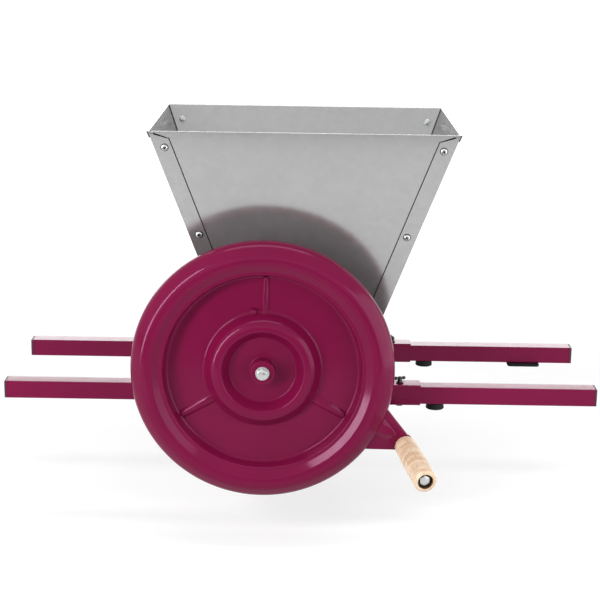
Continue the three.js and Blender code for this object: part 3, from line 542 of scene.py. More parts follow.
def piece(name, shells, finish, node=None, body=None, also=(), sharp=35, even=False):
    """A finished piece of the scratter, made of closed shells, in a finish.

    It stands for its node and the others named in also. even keeps flat faces flat beside their
    rounded edges.
    """
    thing = put_in_scene(name, shells)
    mesh = thing.data
    for polygon in mesh.polygons:
        polygon.use_smooth = True
    mesh.set_sharp_from_angle(angle=math.radians(sharp))
    mesh.materials.append(finish_named(finish))
    if even:
        weighted = thing.modifiers.new("Even faces", "WEIGHTED_NORMAL")
        weighted.keep_sharp = True
        weighted.weight = 100
    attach(thing, body or BODY_OF_NODE[node])
    if node:
        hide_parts(node, *also)
    return thing


# Sizes and colours that a user would change


def length(name, description, default):
    """A length setting."""
    return FloatProperty(name=name, description=description, default=default, min=0.0, unit="LENGTH",
                         precision=4)


def tint(name, description, default):
    """A colour setting, in linear values."""
    return FloatVectorProperty(name=name, description=description, default=default, subtype="COLOR",
                               size=3)


class ScratterTubeSizes(bpy.types.PropertyGroup):
    """Carrying arms, sleeves, caps and feet."""

    wall: length("Arm wall", "Wall of the arms", 2 * MM)
    sleeve_wall: length("Sleeve wall", "Wall of the sleeves", 1.5 * MM)
    arm_corner: length("Arm corner", "Outer corner radius of the arms", 1.6 * MM)
    sleeve_corner: length("Sleeve corner", "Outer corner radius of the sleeves", 3 * MM)
    cap_rounding: length("Cap rounding", "Rounding of the end caps' outer faces", 0.8 * MM)
    slot_length: length("Slot length", "Middle to middle of the clamp slot's round ends", 68 * MM)
    clamp_hole: length("Clamp hole", "Diameter of the holes for the clamp bolts", 6.6 * MM)


class ScratterSheetSizes(bpy.types.PropertyGroup):
    """Hopper and crusher housing."""

    rim_rounding: length("Rim rounding", "Rounding of the hopper's folded rim", 0.9 * MM)
    plate_rounding: length("Plate rounding", "Rounding of the housing plates' edges", 0.6 * MM)
    tooth_rounding: length("Tooth rounding", "Rounding of the blades' edges", 0.25 * MM)


class ScratterWheelSizes(bpy.types.PropertyGroup):
    """Flywheel, crank ear and grip."""

    segments: IntProperty(
        name="Segments", description="Steps round the flywheel", default=400, min=24)
    sheet: length("Sheet", "Thickness of the pressed flywheel", 3 * MM)
    rib_width: length("Rib width", "Width of the two lower pressed ribs", 14 * MM)
    upper_rib_width: length("Upper rib width", "Width of the upper pressed rib", 11 * MM)
    rib_rise: length("Rib rise", "How far the ribs stand out of the web", 3 * MM)
    hub_diameter: length("Hub diameter", "Diameter of the hub", 34 * MM)


class ScratterColours(bpy.types.PropertyGroup):
    """Colours of the finishes, in linear values."""

    enamel: tint("Enamel", "Wine-red enamel", (0.155, 0.0042, 0.038))
    sheet: tint("Sheet", "Zinc-coated sheet", (0.375, 0.375, 0.375))
    zinc: tint("Zinc", "Zinc-plated steel", (0.55, 0.57, 0.56))
    dark_steel: tint("Dark steel", "Blackened steel", (0.055, 0.055, 0.058))
    stainless: tint("Stainless", "Stainless steel", (0.56, 0.57, 0.57))
    aluminium: tint("Aluminium", "Cast aluminium", (0.5, 0.5, 0.51))
    plastic: tint("Plastic", "Black plastic", (0.018, 0.0105, 0.0135))
    rubber: tint("Rubber", "Black rubber", (0.006, 0.006, 0.0064))
    beech: tint("Beech", "Turned beech", (0.76, 0.615, 0.46))


class ScratterStageSizes(bpy.types.PropertyGroup):
    """Floor, lamps and camera."""

    floor_height: FloatProperty(
        name="Floor height", description="Height of the floor below the frame's origin",
        default=-0.19, unit="LENGTH")
    key_power: FloatProperty(
        name="Key power", description="Tall soft lamp at the left, in watts", default=32.0)
    top_power: FloatProperty(
        name="Top power", description="Wide soft lamp overhead, in watts", default=14.0)
    fill_power: FloatProperty(
        name="Fill power", description="Wide low lamp at the right, in watts", default=11.0)
    front_power: FloatProperty(
        name="Front power", description="Large weak lamp behind the camera, in watts", default=3.0)
    back_power: FloatProperty(
        name="Back power", description="Wide low lamp behind, in watts", default=18.0)
    room_light: FloatProperty(
        name="Room light", description="Soft light from all round", default=0.42)
    floor_front: FloatProperty(
        name="Floor front", description="How far the floor reaches in front of the frame's origin",
        default=1.05, unit="LENGTH")
    floor_glow: FloatProperty(
        name="Floor glow", description="What the floor adds near the object to look white",
        default=0.48)
    lens: FloatProperty(name="Lens", description="Focal length in millimetres", default=90.0)


SETTINGS = {
    "scratter_tubes": ScratterTubeSizes,
    "scratter_sheets": ScratterSheetSizes,
    "scratter_wheel": ScratterWheelSizes,
    "scratter_colours": ScratterColours,
    "scratter_stage": ScratterStageSizes,
}


# Carrying frame


def carriers():
    """Label, sign of X and rail's Y of each of the four arms."""
    for end in ENDS:
        low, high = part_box(f"{end}_sleeve")
        for side in SIDES:
            yield f"{end}_{side}", (1 if side == "right" else -1), (low.y + high.y) / 2


class SCRATTER_OT_sleeves(bpy.types.Operator):
    """Square tubes beside the housing, with a nut boss under each end"""

    bl_idname = "scratter.sleeves"
    bl_label = "Sleeves"

    def execute(self, context):
        sizes = context.scene.scratter_tubes
        for end in ENDS:
            low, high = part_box(f"{end}_sleeve")
            centre_y = (low.y + high.y) / 2
            size = high.y - low.y
            boss_bottom = low.z
            bottom = high.z - size
            tube = square_tube((low.x, high.x), (centre_y, high.z - size / 2), size, sizes.sleeve_wall,
                               sizes.sleeve_corner)
            clamps = [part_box(f"{end}_{side}_clamp_bolt") for side in SIDES]
            places = [(corners[0].x + corners[1].x) / 2 for corners in clamps]
            holes = [rod(sizes.clamp_hole / 2, bottom - MM, high.z + MM, centre=(x, centre_y, 0))
                     for x in places]
            shells = [carved(tube, holes)]
            for x in places:
                boss = rounded_line([(3.3 * MM, boss_bottom + 0.1 * MM), (3.3 * MM, boss_bottom),
                                     (6 * MM, boss_bottom, 1.8 * MM), (6 * MM, bottom - 0.2 * MM),
                                     (7 * MM, bottom + 0.5 * MM), (3.3 * MM, bottom + 0.5 * MM)])
                shells.append(turned(boss, Z_AXIS, (x, centre_y, 0), 48, closed=True))
                plug = [(0, boss_bottom + 1.0 * MM), (3.4 * MM, boss_bottom + 1.0 * MM),
                        (3.4 * MM, boss_bottom + 0.1 * MM), (2.6 * MM, boss_bottom + 0.02 * MM),
                        (0, boss_bottom + 0.02 * MM)]
                shells.append(turned(plug, Z_AXIS, (x, centre_y, 0), 32))
            piece(f"{end}_sleeve_tube", shells, "wine_red_enamel", f"{end}_sleeve", even=True)
        return {"FINISHED"}


class SCRATTER_OT_arms(bpy.types.Operator):
    """Four carrying arms with their clamp slots, and the caps in their ends"""

    bl_idname = "scratter.arms"
    bl_label = "Carrying arms"

    def execute(self, context):
        sizes = context.scene.scratter_tubes
        for label, sign, rail_y in carriers():
            low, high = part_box(f"{label}_arm")
            size = high.z - low.z
            middle = (low.z + high.z) / 2
            tube = square_tube((low.x, high.x), (rail_y, middle), size, sizes.wall, sizes.arm_corner)
            clamp_low, clamp_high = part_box(f"{label}_clamp_bolt")
            clamp_x = (clamp_low.x + clamp_high.x) / 2
            radius = sizes.clamp_hole / 2
            ends = sorted((clamp_x + sign * (8 * MM + radius),
                           clamp_x + sign * (8 * MM - sizes.slot_length - radius)))
            slot = block((ends[0], rail_y - radius, low.z - MM), (ends[1], rail_y + radius, high.z + MM))
            soften(slot, edges_along(slot, Z_AXIS), radius * 0.999, 8)
            foot_low, foot_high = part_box(f"{label}_foot")
            foot_x = (foot_low.x + foot_high.x) / 2
            stem_hole = rod(4.3 * MM, low.z - MM, middle, centre=(foot_x, rail_y, 0))
            piece(f"{label}_arm_tube", [carved(tube, [slot, stem_hole])], "wine_red_enamel",
                  f"{label}_arm", even=True)
            self.cap(sizes, label, sign, rail_y, middle)
        return {"FINISHED"}

    def cap(self, sizes, label, sign, rail_y, middle):
        """A square cap with a rounded face and a ribbed plug inside the tube."""
        low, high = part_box(f"{label}_end_cap")
        outer = high.x if sign > 0 else low.x
        inner = low.x if sign > 0 else high.x
        seat = outer - sign * 2.5 * MM
        half = (high.z - low.z) / 2
        plate = block((min(seat, outer), rail_y - half, middle - half),
                      (max(seat, outer), rail_y + half, middle + half))
        soften(plate, edges_along(plate, X_AXIS), sizes.arm_corner, 6)
        soften(plate, edges_round(plate, X_AXIS * sign, outer * sign), sizes.cap_rounding, 4)
        plug_half = half - sizes.wall - 0.4 * MM
        plug = square_tube(sorted((inner, seat + sign * 0.5 * MM)), (rail_y, middle), 2 * plug_half,
                           sizes.wall, 1.0 * MM)
        piece(f"{label}_cap", [plate, plug], "cap_plastic", f"{label}_end_cap", even=True)


class SCRATTER_OT_feet(bpy.types.Operator):
    """Rubber feet with a flared lower edge, and the flat pad under one arm"""

    bl_idname = "scratter.feet"
    bl_label = "Feet and pad"

    def execute(self, context):
        for label, _, rail_y in carriers():
            low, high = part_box(f"{label}_foot")
            radius = (high.x - low.x) / 2
            line = rounded_line(in_metres([
                (0, 0), (radius / MM, 0, 1.3), (radius / MM - 0.75, 4), (radius / MM - 0.8, 8.7, 0.5),
                (4, 8.7), (4, 11.3), (5.2, 11.3, 0.3), (4, 14.3, 0.6), (0, 14.3)]))
            foot = turned(line, Z_AXIS, ((low.x + high.x) / 2, rail_y, low.z), 72)
            piece(f"{label}_rubber_foot", [foot], "foot_rubber", f"{label}_foot")
        low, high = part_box("rear_right_pad")
        pad = block(low, high)
        soften(pad, edges_along(pad, Z_AXIS), 5 * MM, 8)
        soften(pad, edges_round(pad, Z_AXIS, low.z) + edges_round(pad, Z_AXIS, high.z), 0.7 * MM, 3)
        piece("rear_right_rubber_pad", [pad], "foot_rubber", "rear_right_pad", even=True)
        return {"FINISHED"}


class SCRATTER_OT_clamp_bolts(bpy.types.Operator):
    """Clamp bolts with a collar and a T bar that ends in two balls"""

    bl_idname = "scratter.clamp_bolts"
    bl_label = "Clamp bolts"

    bar_turns = {"front": math.radians(17), "rear": math.radians(105)}

    def execute(self, context):
        for label, _, rail_y in carriers():
            low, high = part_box(f"{label}_clamp_bolt")
            place = Vector(((low.x + high.x) / 2, rail_y, 0.0))
            sleeve_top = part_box(label.split("_")[0] + "_sleeve")[1].z
            seat = sleeve_top + 0.3 * MM
            bar_z = high.z - 2.6 * MM
            stem = [(0, low.z), *thread_line(3 * MM, low.z + 0.4 * MM, seat, 1.0 * MM, 0.35 * MM),
                    *rounded_line([(5.5 * MM, seat, 0.3 * MM), (5.5 * MM, seat + 1.6 * MM, 0.5 * MM),
                                   (3.4 * MM, seat + 1.6 * MM, 0.3 * MM), (3 * MM, bar_z - 0.6 * MM),
                                   (3 * MM, bar_z + 2.0 * MM, 1.0 * MM), (0, bar_z + 2.3 * MM)])]
            shells = [turned(stem, Z_AXIS, place, 48)]
            turn = self.bar_turns[label.split("_")[0]]
            along = Vector((math.cos(turn), math.sin(turn), 0.0))
            ball = 2.6
            half_bar = 17 / 2
            line = [(0, -half_bar)]
            for i in range(1, 8):
                angle = math.pi * i / 9
                line.append((ball * math.sin(angle), -half_bar + ball - ball * math.cos(angle)))
            line += [(1.7, -half_bar + 2 * ball + 0.1), (1.7, half_bar - 2 * ball - 0.1)]
            line += [(radius, -along_bar) for radius, along_bar in reversed(line[:-2])]
            bar = turned(in_metres(line), along, place + Z_AXIS * bar_z, 32)
            piece(f"{label}_clamp", shells + [bar], "dark_steel", f"{label}_clamp_bolt", sharp=40)
        return {"FINISHED"}


# Crusher


class SCRATTER_OT_housing(bpy.types.Operator):
    """Cheek and side plates of the crusher housing"""

    bl_idname = "scratter.housing"
    bl_label = "Crusher housing"

    def execute(self, context):
        sizes = context.scene.scratter_sheets
        names = ["housing_front_cheek", "housing_rear_cheek", "housing_left_plate", "housing_right_plate"]
        for name in names:
            shell = copy_of(name)
            low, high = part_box(name)
            edges = [e for e in shell.edges if e.is_manifold and e.calc_face_angle(0) > 1.0
                     and all(self.on_border(vert.co, low, high) for vert in e.verts)]
            soften(shell, edges, sizes.plate_rounding, 2)
            piece(f"{name}_sheet", [shell], "wine_red_enamel", name, even=True)
        return {"FINISHED"}

    @staticmethod
    def on_border(point, low, high):
        """True where a point lies on two or more faces of the box."""
        near = [min(abs(point[i] - low[i]), abs(point[i] - high[i])) < 1e-5 for i in range(3)]
        return sum(near) > 1


class SCRATTER_OT_bearings(bpy.types.Operator):
    """Flange bearings on the cheeks, each with four screws"""

    bl_idname = "scratter.bearings"
    bl_label = "Flange bearings"

    def execute(self, context):
        head = hex_prism(8 * MM, 0.0, 3.4 * MM)
        for end, sign in (("front", -1), ("rear", 1)):
            low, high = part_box(f"{end}_bearing")
            inner = low.y if sign > 0 else -high.y
            outer = high.y if sign > 0 else -low.y
            face = outer - 22 * MM
            line = rounded_line([
                (10.3 * MM, inner), (15 * MM, inner, 0.4 * MM), (15 * MM, face),
                (29 * MM, face, 0.5 * MM),
                (29 * MM, face + 6 * MM, 1.2 * MM), (18 * MM, face + 6 * MM, 1.5 * MM),
                (17.6 * MM, outer, 1.0 * MM), (13.5 * MM, outer, 0.3 * MM), (13.2 * MM, outer - 1.2 * MM),
                (10.3 * MM, outer - 1.2 * MM)])
            flange = turned(line, Y_AXIS * sign, SHAFT_CENTRE, 96, closed=True)
            piece(f"{end}_flange_bearing", [flange], "bearing_plastic", f"{end}_bearing")
            screws = []
            for quarter in range(4):
                angle = math.radians(45 + 90 * quarter)
                place = SHAFT_CENTRE + Vector((23.6 * MM * math.cos(angle), sign * (face + 6.9 * MM),
                                         23.6 * MM * math.sin(angle)))
                screws.append(aimed(head.copy(), Y_AXIS * sign, place))
                washer = turned(rounded_line(in_metres([(0, -0.9), (5, -0.9, 0.2), (5, 0, 0.3), (0, 0)])),
                                Y_AXIS * sign, place, 32)
                screws.append(washer)
            piece(f"{end}_bearing_screws", screws, "zinc_plated_steel", body="crusher_frame")
        head.free()
        return {"FINISHED"}


class SCRATTER_OT_pressure_plate(bpy.types.Operator):
    """Pressure plate beside the drum, with its two bolts"""

    bl_idname = "scratter.pressure_plate"
    bl_label = "Pressure plate"

    def execute(self, context):
        plate = copy_of("pressure_plate")
        soften_sharp(plate, 0.4 * MM, 2, 60)
        piece("pressure_plate_formed", [plate], "stainless_steel", "pressure_plate", even=True)
        for number in (1, 2):
            node = f"pressure_plate_bolt_{number}"
            low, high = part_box(node)
            y, z = (low.y + high.y) / 2, (low.z + high.z) / 2
            head = aimed(hex_prism(10 * MM, 0.0, 4 * MM), X_AXIS, (high.x - 4 * MM, y, z))
            nut = aimed(hex_prism(10 * MM, 0.0, 5 * MM), -X_AXIS, (low.x + 6 * MM, y, z))
            stem = turned([(0, low.x), *thread_line(3 * MM, low.x + 0.3 * MM, high.x - 3.9 * MM),
                           (0, high.x - 3.9 * MM)], X_AXIS, (0, y, z), 32)
            piece(f"{node}_hexagon", [head, nut, stem], "zinc_plated_steel", node)
        return {"FINISHED"}


class SCRATTER_OT_drum(bpy.types.Operator):
    """Crushing drum with its toothed blades and pin, on its shaft"""

    bl_idname = "scratter.drum"
    bl_label = "Drum and shaft"

    def execute(self, context):
        sizes = context.scene.scratter_sheets
        core = copy_of("drum_core")
        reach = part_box("drum_core")[1].y
        ends = [e for e in core.edges if e.is_manifold and e.calc_face_angle(0) > 1.2
                and all(abs(abs(v.co.y) - reach) < 1e-5 for v in e.verts)
                and all((v.co - CRANK_CENTRE).xz.length > 38 * MM for v in e.verts)]
        soften(core, ends, 0.5 * MM, 2)
        piece("drum_core_bar", [core], "cast_aluminium", "drum_core", sharp=25)
        for number in range(1, 7):
            blade = copy_of(f"drum_blade_{number}")
            soften_sharp(blade, sizes.tooth_rounding, 1, 20)
            piece(f"drum_blade_{number}_ground", [blade], "stainless_steel", f"drum_blade_{number}",
                  even=True)
        self.shaft()
        return {"FINISHED"}

    def shaft(self):
        """The shaft with its stepped nose, the spacer and the stop collar."""
        low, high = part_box("shaft")
        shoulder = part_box("shaft_spacer")[0].y - 0.3 * MM
        line = rounded_line([
            (0, low.y + 26 * MM), (4.3 * MM, low.y + 26 * MM), (4.3 * MM, low.y),
            (8 * MM, low.y, 0.6 * MM),
            (8 * MM, shoulder), (10 * MM, shoulder, 0.4 * MM), (10 * MM, high.y - 1.5 * MM),
            (8.5 * MM, high.y), (1.6 * MM, high.y), (0, high.y - 1.4 * MM)])
        piece("shaft_bar", [turned(line, Y_AXIS, SHAFT_CENTRE, 72)], "stainless_steel", "shaft")
        for node in ("shaft_spacer", "shaft_collar"):
            low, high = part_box(node)
            radius = (high.x - low.x) / 2
            line = rounded_line([(10.3 * MM, low.y, 0.3 * MM), (radius, low.y, 0.8 * MM),
                                 (radius, high.y, 0.8 * MM), (10.3 * MM, high.y, 0.3 * MM)])
            ring = turned(line, Y_AXIS, SHAFT_CENTRE, 72, closed=True)
            if node == "shaft_collar":
                place = SHAFT_CENTRE + Vector((0, (low.y + high.y) / 2, radius - 1.2 * MM))
                socket = aimed(hex_prism(3 * MM, -1 * MM, 3 * MM), Z_AXIS, place)
                screw = turned(rounded_line(in_metres([(0, -6), (2.5, -6), (2.5, 0.6, 0.3), (0, 0.6)])),
                               Z_AXIS, place, 32)
                hole = rod(2.8 * MM, -5.5 * MM, 4 * MM, centre=place)
                ring = carved(ring, [hole])
                piece("shaft_collar_grub_screw", [carved(screw, [socket])], "dark_steel",
                      body="crank_rotor")
            piece(f"{node}_ring", [ring], "zinc_plated_steel", node)


# Hopper


def flare(name, axis):
    """A function that gives how far out a panel's outer face lies at a height."""
    points = [vert.co for vert in frame["nodes"][f"hopper_{name}_panel"].data.vertices]
    levels = sorted({round(point.z, 5) for point in points})
    bend, rim = levels[1], levels[-1]
    at_bend, at_rim = ([abs(point[axis]) for point in points if abs(point.z - level) < 2e-5]
                       for level in (bend, rim))
    slope = (min(at_rim) - min(at_bend)) / (rim - bend)
    return lambda z: max(at_bend) + (z - bend) * slope


class SCRATTER_OT_hopper(bpy.types.Operator):
    """Four sheet panels with a folded rim, and painted shade: dark strips along their laps, rim ends and rear
    corners
    """

    bl_idname = "scratter.hopper"
    bl_label = "Hopper panels"

    def execute(self, context):
        sizes = context.scene.scratter_sheets
        for name in ("front", "back", "left", "right"):
            node = f"hopper_{name}_panel"
            panel = copy_of(node)
            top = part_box(node)[1].z
            rim = [e for e in edges_round(panel, Z_AXIS, top)
                   if e.is_manifold and e.calc_face_angle(0) > 0.6 and e.calc_length() > 100 * MM]
            soften(panel, rim, sizes.rim_rounding, 4)
            piece(f"{node}_folded", [panel], "galvanized_sheet", node, sharp=30, even=True)
        self.painted_seam_shade()
        return {"FINISHED"}

    @staticmethod
    def painted_seam_shade():
        """Painted shade: dark strips that paint the shadow in the gaps along the laps, at the folded rim's ends
        and in the rear corners.
        """
        half_x, half_y = flare("left", 0), flare("front", 1)
        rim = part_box("hopper_front_panel")[1].z / MM
        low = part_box("housing_front_cheek")[1].z / MM
        lap = [(24, low), (25.2, low), (25.2, rim - 9.2), (24, rim - 10.3)]
        mitre = [(23, rim - 10.2), (25.2, rim - 9.2), (6, rim - 1.8), (6, rim - 4.9)]
        fold = [(0.1, rim - 0.6), (-1.8, rim - 0.6), (-0.3, rim - 9), (-1.2, rim - 9)]
        corner = [(1.0, low), (2.1, low), (2.1, rim - 1.5), (1.0, rim - 1.5)]
        shells = []
        for x_sign in (-1, 1):
            for y_sign in (-1, 1):
                for outline, depths in ((lap, (-0.1, 0.35)), (mitre, (-0.1, 0.5)), (fold, (0.9, 1.35))):
                    shells.append(hull([
                        (x_sign * (half_x(z * MM) - inset * MM),
                         y_sign * (half_y(z * MM) + depth * MM), z * MM)
                        for inset, z in outline for depth in depths]))
            shells.append(hull([
                (x_sign * (half_x(z * MM) - inset * MM), half_y(z * MM) - depth * MM, z * MM)
                for inset, z in corner for depth in (0.9, 1.3)]))
        # Painted shade: these strips stand in for the shadow in the gaps, in a dark finish.
        piece("hopper_painted_seam_shade", shells, "foot_rubber", body="crusher_frame")


class SCRATTER_OT_hopper_screws(bpy.types.Operator):
    """Round-headed cross-recess screws and nuts at the hopper's corners, with painted shade in each recess and
    under each head
    """

    bl_idname = "scratter.hopper_screws"
    bl_label = "Hopper screws"

    def execute(self, context):
        screw = self.screw()
        recess = self.recess()
        screw_shade_shells = []
        for end, y_sign in (("front", -1), ("back", 1)):
            for side in SIDES:
                for number in (1, 2):
                    node = f"hopper_screw_{end}_{side}_{number}"
                    place, out = self.place(node, y_sign)
                    shells = [aimed(shell.copy(), out, place) for shell in screw]
                    piece(f"{node}_round_head", shells, "zinc_plated_steel", node)
                    screw_shade_shells += [aimed(shell.copy(), out, place) for shell in recess]
        # Painted shade in each screw's recess and under each head, in a dark finish.
        piece("hopper_screw_painted_shade", screw_shade_shells, "dark_steel", body="crusher_frame")
        for shell in screw + recess:
            shell.free()
        return {"FINISHED"}

    @staticmethod
    def place(node, y_sign):
        """The middle of the screw's head face and the direction that it points in."""
        points = [vert.co.copy() for vert in frame["nodes"][node].data.vertices]
        middle = sum(points, Vector()) / len(points)
        half_y = flare("front", 1)
        slope = (half_y(2 * middle.z) - half_y(middle.z)) / middle.z
        out = Vector((0, y_sign, -slope)).normalized()
        reach = max(point.dot(out) for point in points)
        return middle + out * (reach - middle.dot(out)), out

    @staticmethod
    def cross(reach, half, span):
        """Two crossed bars between two heights, narrower at their lower ends."""
        bars = [block((-reach, -half, span[0]), (reach, half, span[1])),
                block((-half, -reach, span[0]), (half, reach, span[1]))]
        for bar in bars:
            low = [vert for vert in bar.verts if vert.co.z < (span[0] + span[1]) / 2]
            bmesh.ops.scale(bar, vec=(0.6, 0.6, 1.0), verts=low)
            bmesh.ops.rotate(bar, cent=(0, 0, 0), matrix=Matrix.Rotation(math.radians(25), 3, "Z"),
                             verts=bar.verts)
        return bars

    @staticmethod
    def recess():
        """Painted shade: a dark cross that paints the shade in the bottom of the screw's recess, and a dark ring
        that paints the contact shadow under its head.
        """
        ring = turned(in_metres([(4.3, -2.85), (5.3, -2.85), (5.3, -2.55), (4.3, -2.55)]), Z_AXIS,
                      segments=32, closed=True)
        return [*SCRATTER_OT_hopper_screws.cross(3.2 * MM, 0.9 * MM, (-1.7 * MM, -0.7 * MM)), ring]

    @staticmethod
    def screw():
        """Shells of a screw along Z whose head's top is at the origin."""
        head = turned(rounded_line(in_metres([
            (0, -2.8), (4.5, -2.8, 0.25), (4.5, -2.2, 0.3), (4.15, -1.0, 1.2), (2.6, -0.12, 2.0),
            (0, 0)])),
            Z_AXIS, segments=48)
        cross = SCRATTER_OT_hopper_screws.cross(3.4 * MM, 1.0 * MM, (-1.7 * MM, MM))
        nut_top = -(2.8 + 0.3 + 2 + 0.6) * MM
        nut = hex_prism(8 * MM, -nut_top, -nut_top + 4 * MM)
        bmesh.ops.rotate(nut, cent=(0, 0, 0), matrix=Matrix.Rotation(math.pi, 3, "X"), verts=nut.verts)
        stem = turned([(0, -2.7 * MM), *thread_line(2.5 * MM, -2.7 * MM, nut_top - 5.0 * MM, 0.8 * MM),
                       (1.6 * MM, nut_top - 5.4 * MM), (0, nut_top - 5.4 * MM)], Z_AXIS, segments=32)
        washer = turned(rounded_line(in_metres([
            (2.6, -5.7), (5.2, -5.7, 0.2), (5.2, -5.15, 0.2), (2.6, -5.15)])),
            Z_AXIS, segments=40, closed=True)
        return [carved(head, cross), washer, nut, stem]


# Flywheel and crank


FLOOR_DEPTH = 24 * MM
WEB_DEPTH = 26 * MM


def wheel_line(steps=7):
    """The flywheel's front face as (radius, depth behind the rim's crest), in metres."""
    points = [
        (13, 24), (46, 24, 4), (57.2, 9.5, 4), (68.4, 9.5, 15), (81.4, 26, 7),
        (134.2, 26, 6), (137.2, 7.5, 2), (141.8, 7.5, 3), (151.8, 0.9, 5), (159, 0, 12),
        (165.6, 0.7, 18), (182, 13, 16), (182, 31, 7), (173, 31),
    ]
    return rounded_line(in_metres(points), steps)


class SCRATTER_OT_flywheel(bpy.types.Operator):
    """Pressed flywheel with its ribs, hub and crank ear"""

    bl_idname = "scratter.flywheel"
    bl_label = "Flywheel"

    lower_rib_angles = (211, 330)
    upper_rib_angle = 88.5
    pip_angle = 99
    pip_distance = 83 * MM

    def execute(self, context):
        sizes = context.scene.scratter_wheel
        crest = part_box("flywheel")[0].y
        line = [(radius, crest + depth) for radius, depth in wheel_line()]
        shell = turned(line, Y_AXIS, SHAFT_CENTRE, sizes.segments)
        face = min(shell.faces, key=lambda f: (f.calc_center_median() - SHAFT_CENTRE).xz.length)
        if face.normal.y > 0:
            bmesh.ops.reverse_faces(shell, faces=shell.faces)
        bmesh.ops.solidify(shell, geom=shell.faces[:] + shell.edges[:] + shell.verts[:],
                           thickness=sizes.sheet)
        web = crest + WEB_DEPTH
        ribs = [self.rib(web, angle, sizes.rib_width, sizes.rib_rise)
                for angle in self.lower_rib_angles]
        ribs.append(self.rib(web, self.upper_rib_angle, sizes.upper_rib_width, sizes.rib_rise))
        shells = [shell, *ribs, self.pip(web), self.hub(sizes), *self.ear()]
        piece("flywheel_pressed", shells, "wine_red_enamel", "flywheel", sharp=38)
        return {"FINISHED"}

    @staticmethod
    def rib(web, angle, width, height):
        """A ridge pressed out of the web, with a flat crest and two flat flanks."""
        out = Vector((math.cos(math.radians(angle)), 0, math.sin(math.radians(angle))))
        across = out.cross(Y_AXIS)
        flank = width / 3
        points = []
        for radius, half in ((77 * MM, width / 2 + 0.6 * MM), (131 * MM, width / 2 - 0.6 * MM)):
            for sign in (-1, 1):
                for reach, rise in ((half + flank * 0.3, -0.3 * height), (half - flank, height)):
                    points.append(SHAFT_CENTRE + out * radius + across * sign * reach
                                  + Y_AXIS * (web - rise))
        return soften_sharp(hull(points), 0.7 * MM, 3, 10)

    @staticmethod
    def pip(web):
        """A small dome pressed beside the upper rib."""
        angle = math.radians(SCRATTER_OT_flywheel.pip_angle)
        distance = SCRATTER_OT_flywheel.pip_distance
        place = SHAFT_CENTRE + Vector((distance * math.cos(angle), 0, distance * math.sin(angle)))
        line = [(0, 6.2), (1.6, 5.9), (3.0, 5.1), (4.2, 3.8), (5.1, 2.1), (5.9, 0.6), (6.8, -0.6),
                (0, -0.6)]
        return turned([(radius * MM, height * MM - web) for radius, height in line],
                      -Y_AXIS, place, 48)

    @staticmethod
    def hub(sizes):
        """The hub with rounded ends, and a weld fillet where it meets the pressing."""
        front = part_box("hub_washer")[1].y + 0.3 * MM
        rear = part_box("shaft_spacer")[0].y - 0.6 * MM
        radius = sizes.hub_diameter / 2
        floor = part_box("flywheel")[0].y + FLOOR_DEPTH
        line = rounded_line([
            (8.3 * MM, front, 0.8 * MM), (radius, front, 1.2 * MM), (radius, floor, 3.0 * MM),
            (radius + 4 * MM, floor + 0.4 * MM), (radius + 4 * MM, floor + 2.4 * MM),
            (radius, floor + 2.6 * MM, 1.5 * MM), (radius, rear, 0.8 * MM), (8.3 * MM, rear, 0.4 * MM)])
        return turned(line, Y_AXIS, SHAFT_CENTRE, 96, closed=True)

    def ear(self):
        """The crank ear: a dished plate with rolled edges and a raised facet."""
        place = self.ear_place()
        root_top, root_bottom = 40.3 * MM, 33.5 * MM
        end = Vector(((GRIP_PLACE - place.translation).dot(place.col[0].xyz), 0, 2.4 * MM))
        end_radius = 11.6 * MM
        outline = [Vector((0, 0, root_top)), Vector((0, 0, -root_bottom))]
        for i in range(21):
            angle = math.radians(-100 + 10 * i)
            outline.append(Vector((end.x + end_radius * math.cos(angle), 0,
                                   end.z + end_radius * math.sin(angle))))
        plate = bmesh.new()
        face = plate.faces.new([plate.verts.new(point) for point in outline])
        if face.normal.y > 0:
            face.normal_flip()
        grown = bmesh.ops.extrude_face_region(plate, geom=[face])
        bmesh.ops.translate(plate, vec=(0, 8 * MM, 0),
                            verts=[g for g in grown["geom"] if isinstance(g, bmesh.types.BMVert)])
        bmesh.ops.recalc_face_normals(plate, faces=plate.faces)
        back = max(plate.faces, key=lambda f: f.calc_center_median().y)
        bmesh.ops.inset_region(plate, faces=[back], thickness=3 * MM, depth=0.0)
        back = max((f for f in plate.faces if f.normal.y > 0.9), key=lambda f: f.calc_area())
        bmesh.ops.translate(plate, vec=(0, -5 * MM, 0), verts=back.verts[:])
        rim = [e for e in plate.edges if all(abs(v.co.y) < 1e-7 for v in e.verts)
               and not all(v.co.x < 1e-6 for v in e.verts)]
        soften(plate, rim, 1.8 * MM, 4)
        hole = rod(4.3 * MM, -MM, 9 * MM, Y_AXIS, (end.x, 0, 0))
        plate = carved(plate, [hole])
        clear = end.x / MM - 15.75 - 1
        foot = [(6, 25), (6, -5), (28, 17), (30, -4), (clear, 9), (clear, 6)]
        top = [(9, 8), (13, 15), (26, 16), (33, 12), (35, 9), (28, 5), (11, 4)]
        facet = hull([(x * MM, 0.5 * MM, z * MM) for x, z in foot]
                     + [(x * MM, -4 * MM, z * MM) for x, z in top])
        soften_sharp(facet, 1.2 * MM, 3, 10)
        shells = [plate, facet]
        for shell in shells:
            bmesh.ops.transform(shell, matrix=place, verts=shell.verts)
        return shells

    @staticmethod
    def ear_place():
        """Frame at the ear's root: X runs out to the grip, Y back, Z up the ear."""
        drop = Matrix.Rotation(math.radians(28.3), 4, "Y")
        root = Matrix.Translation((168.8 * MM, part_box("flywheel")[0].y + 12 * MM, 0))
        tilt = Matrix.Rotation(math.radians(12), 4, "Z")
        return Matrix.Translation(SHAFT_CENTRE) @ drop @ root @ tilt


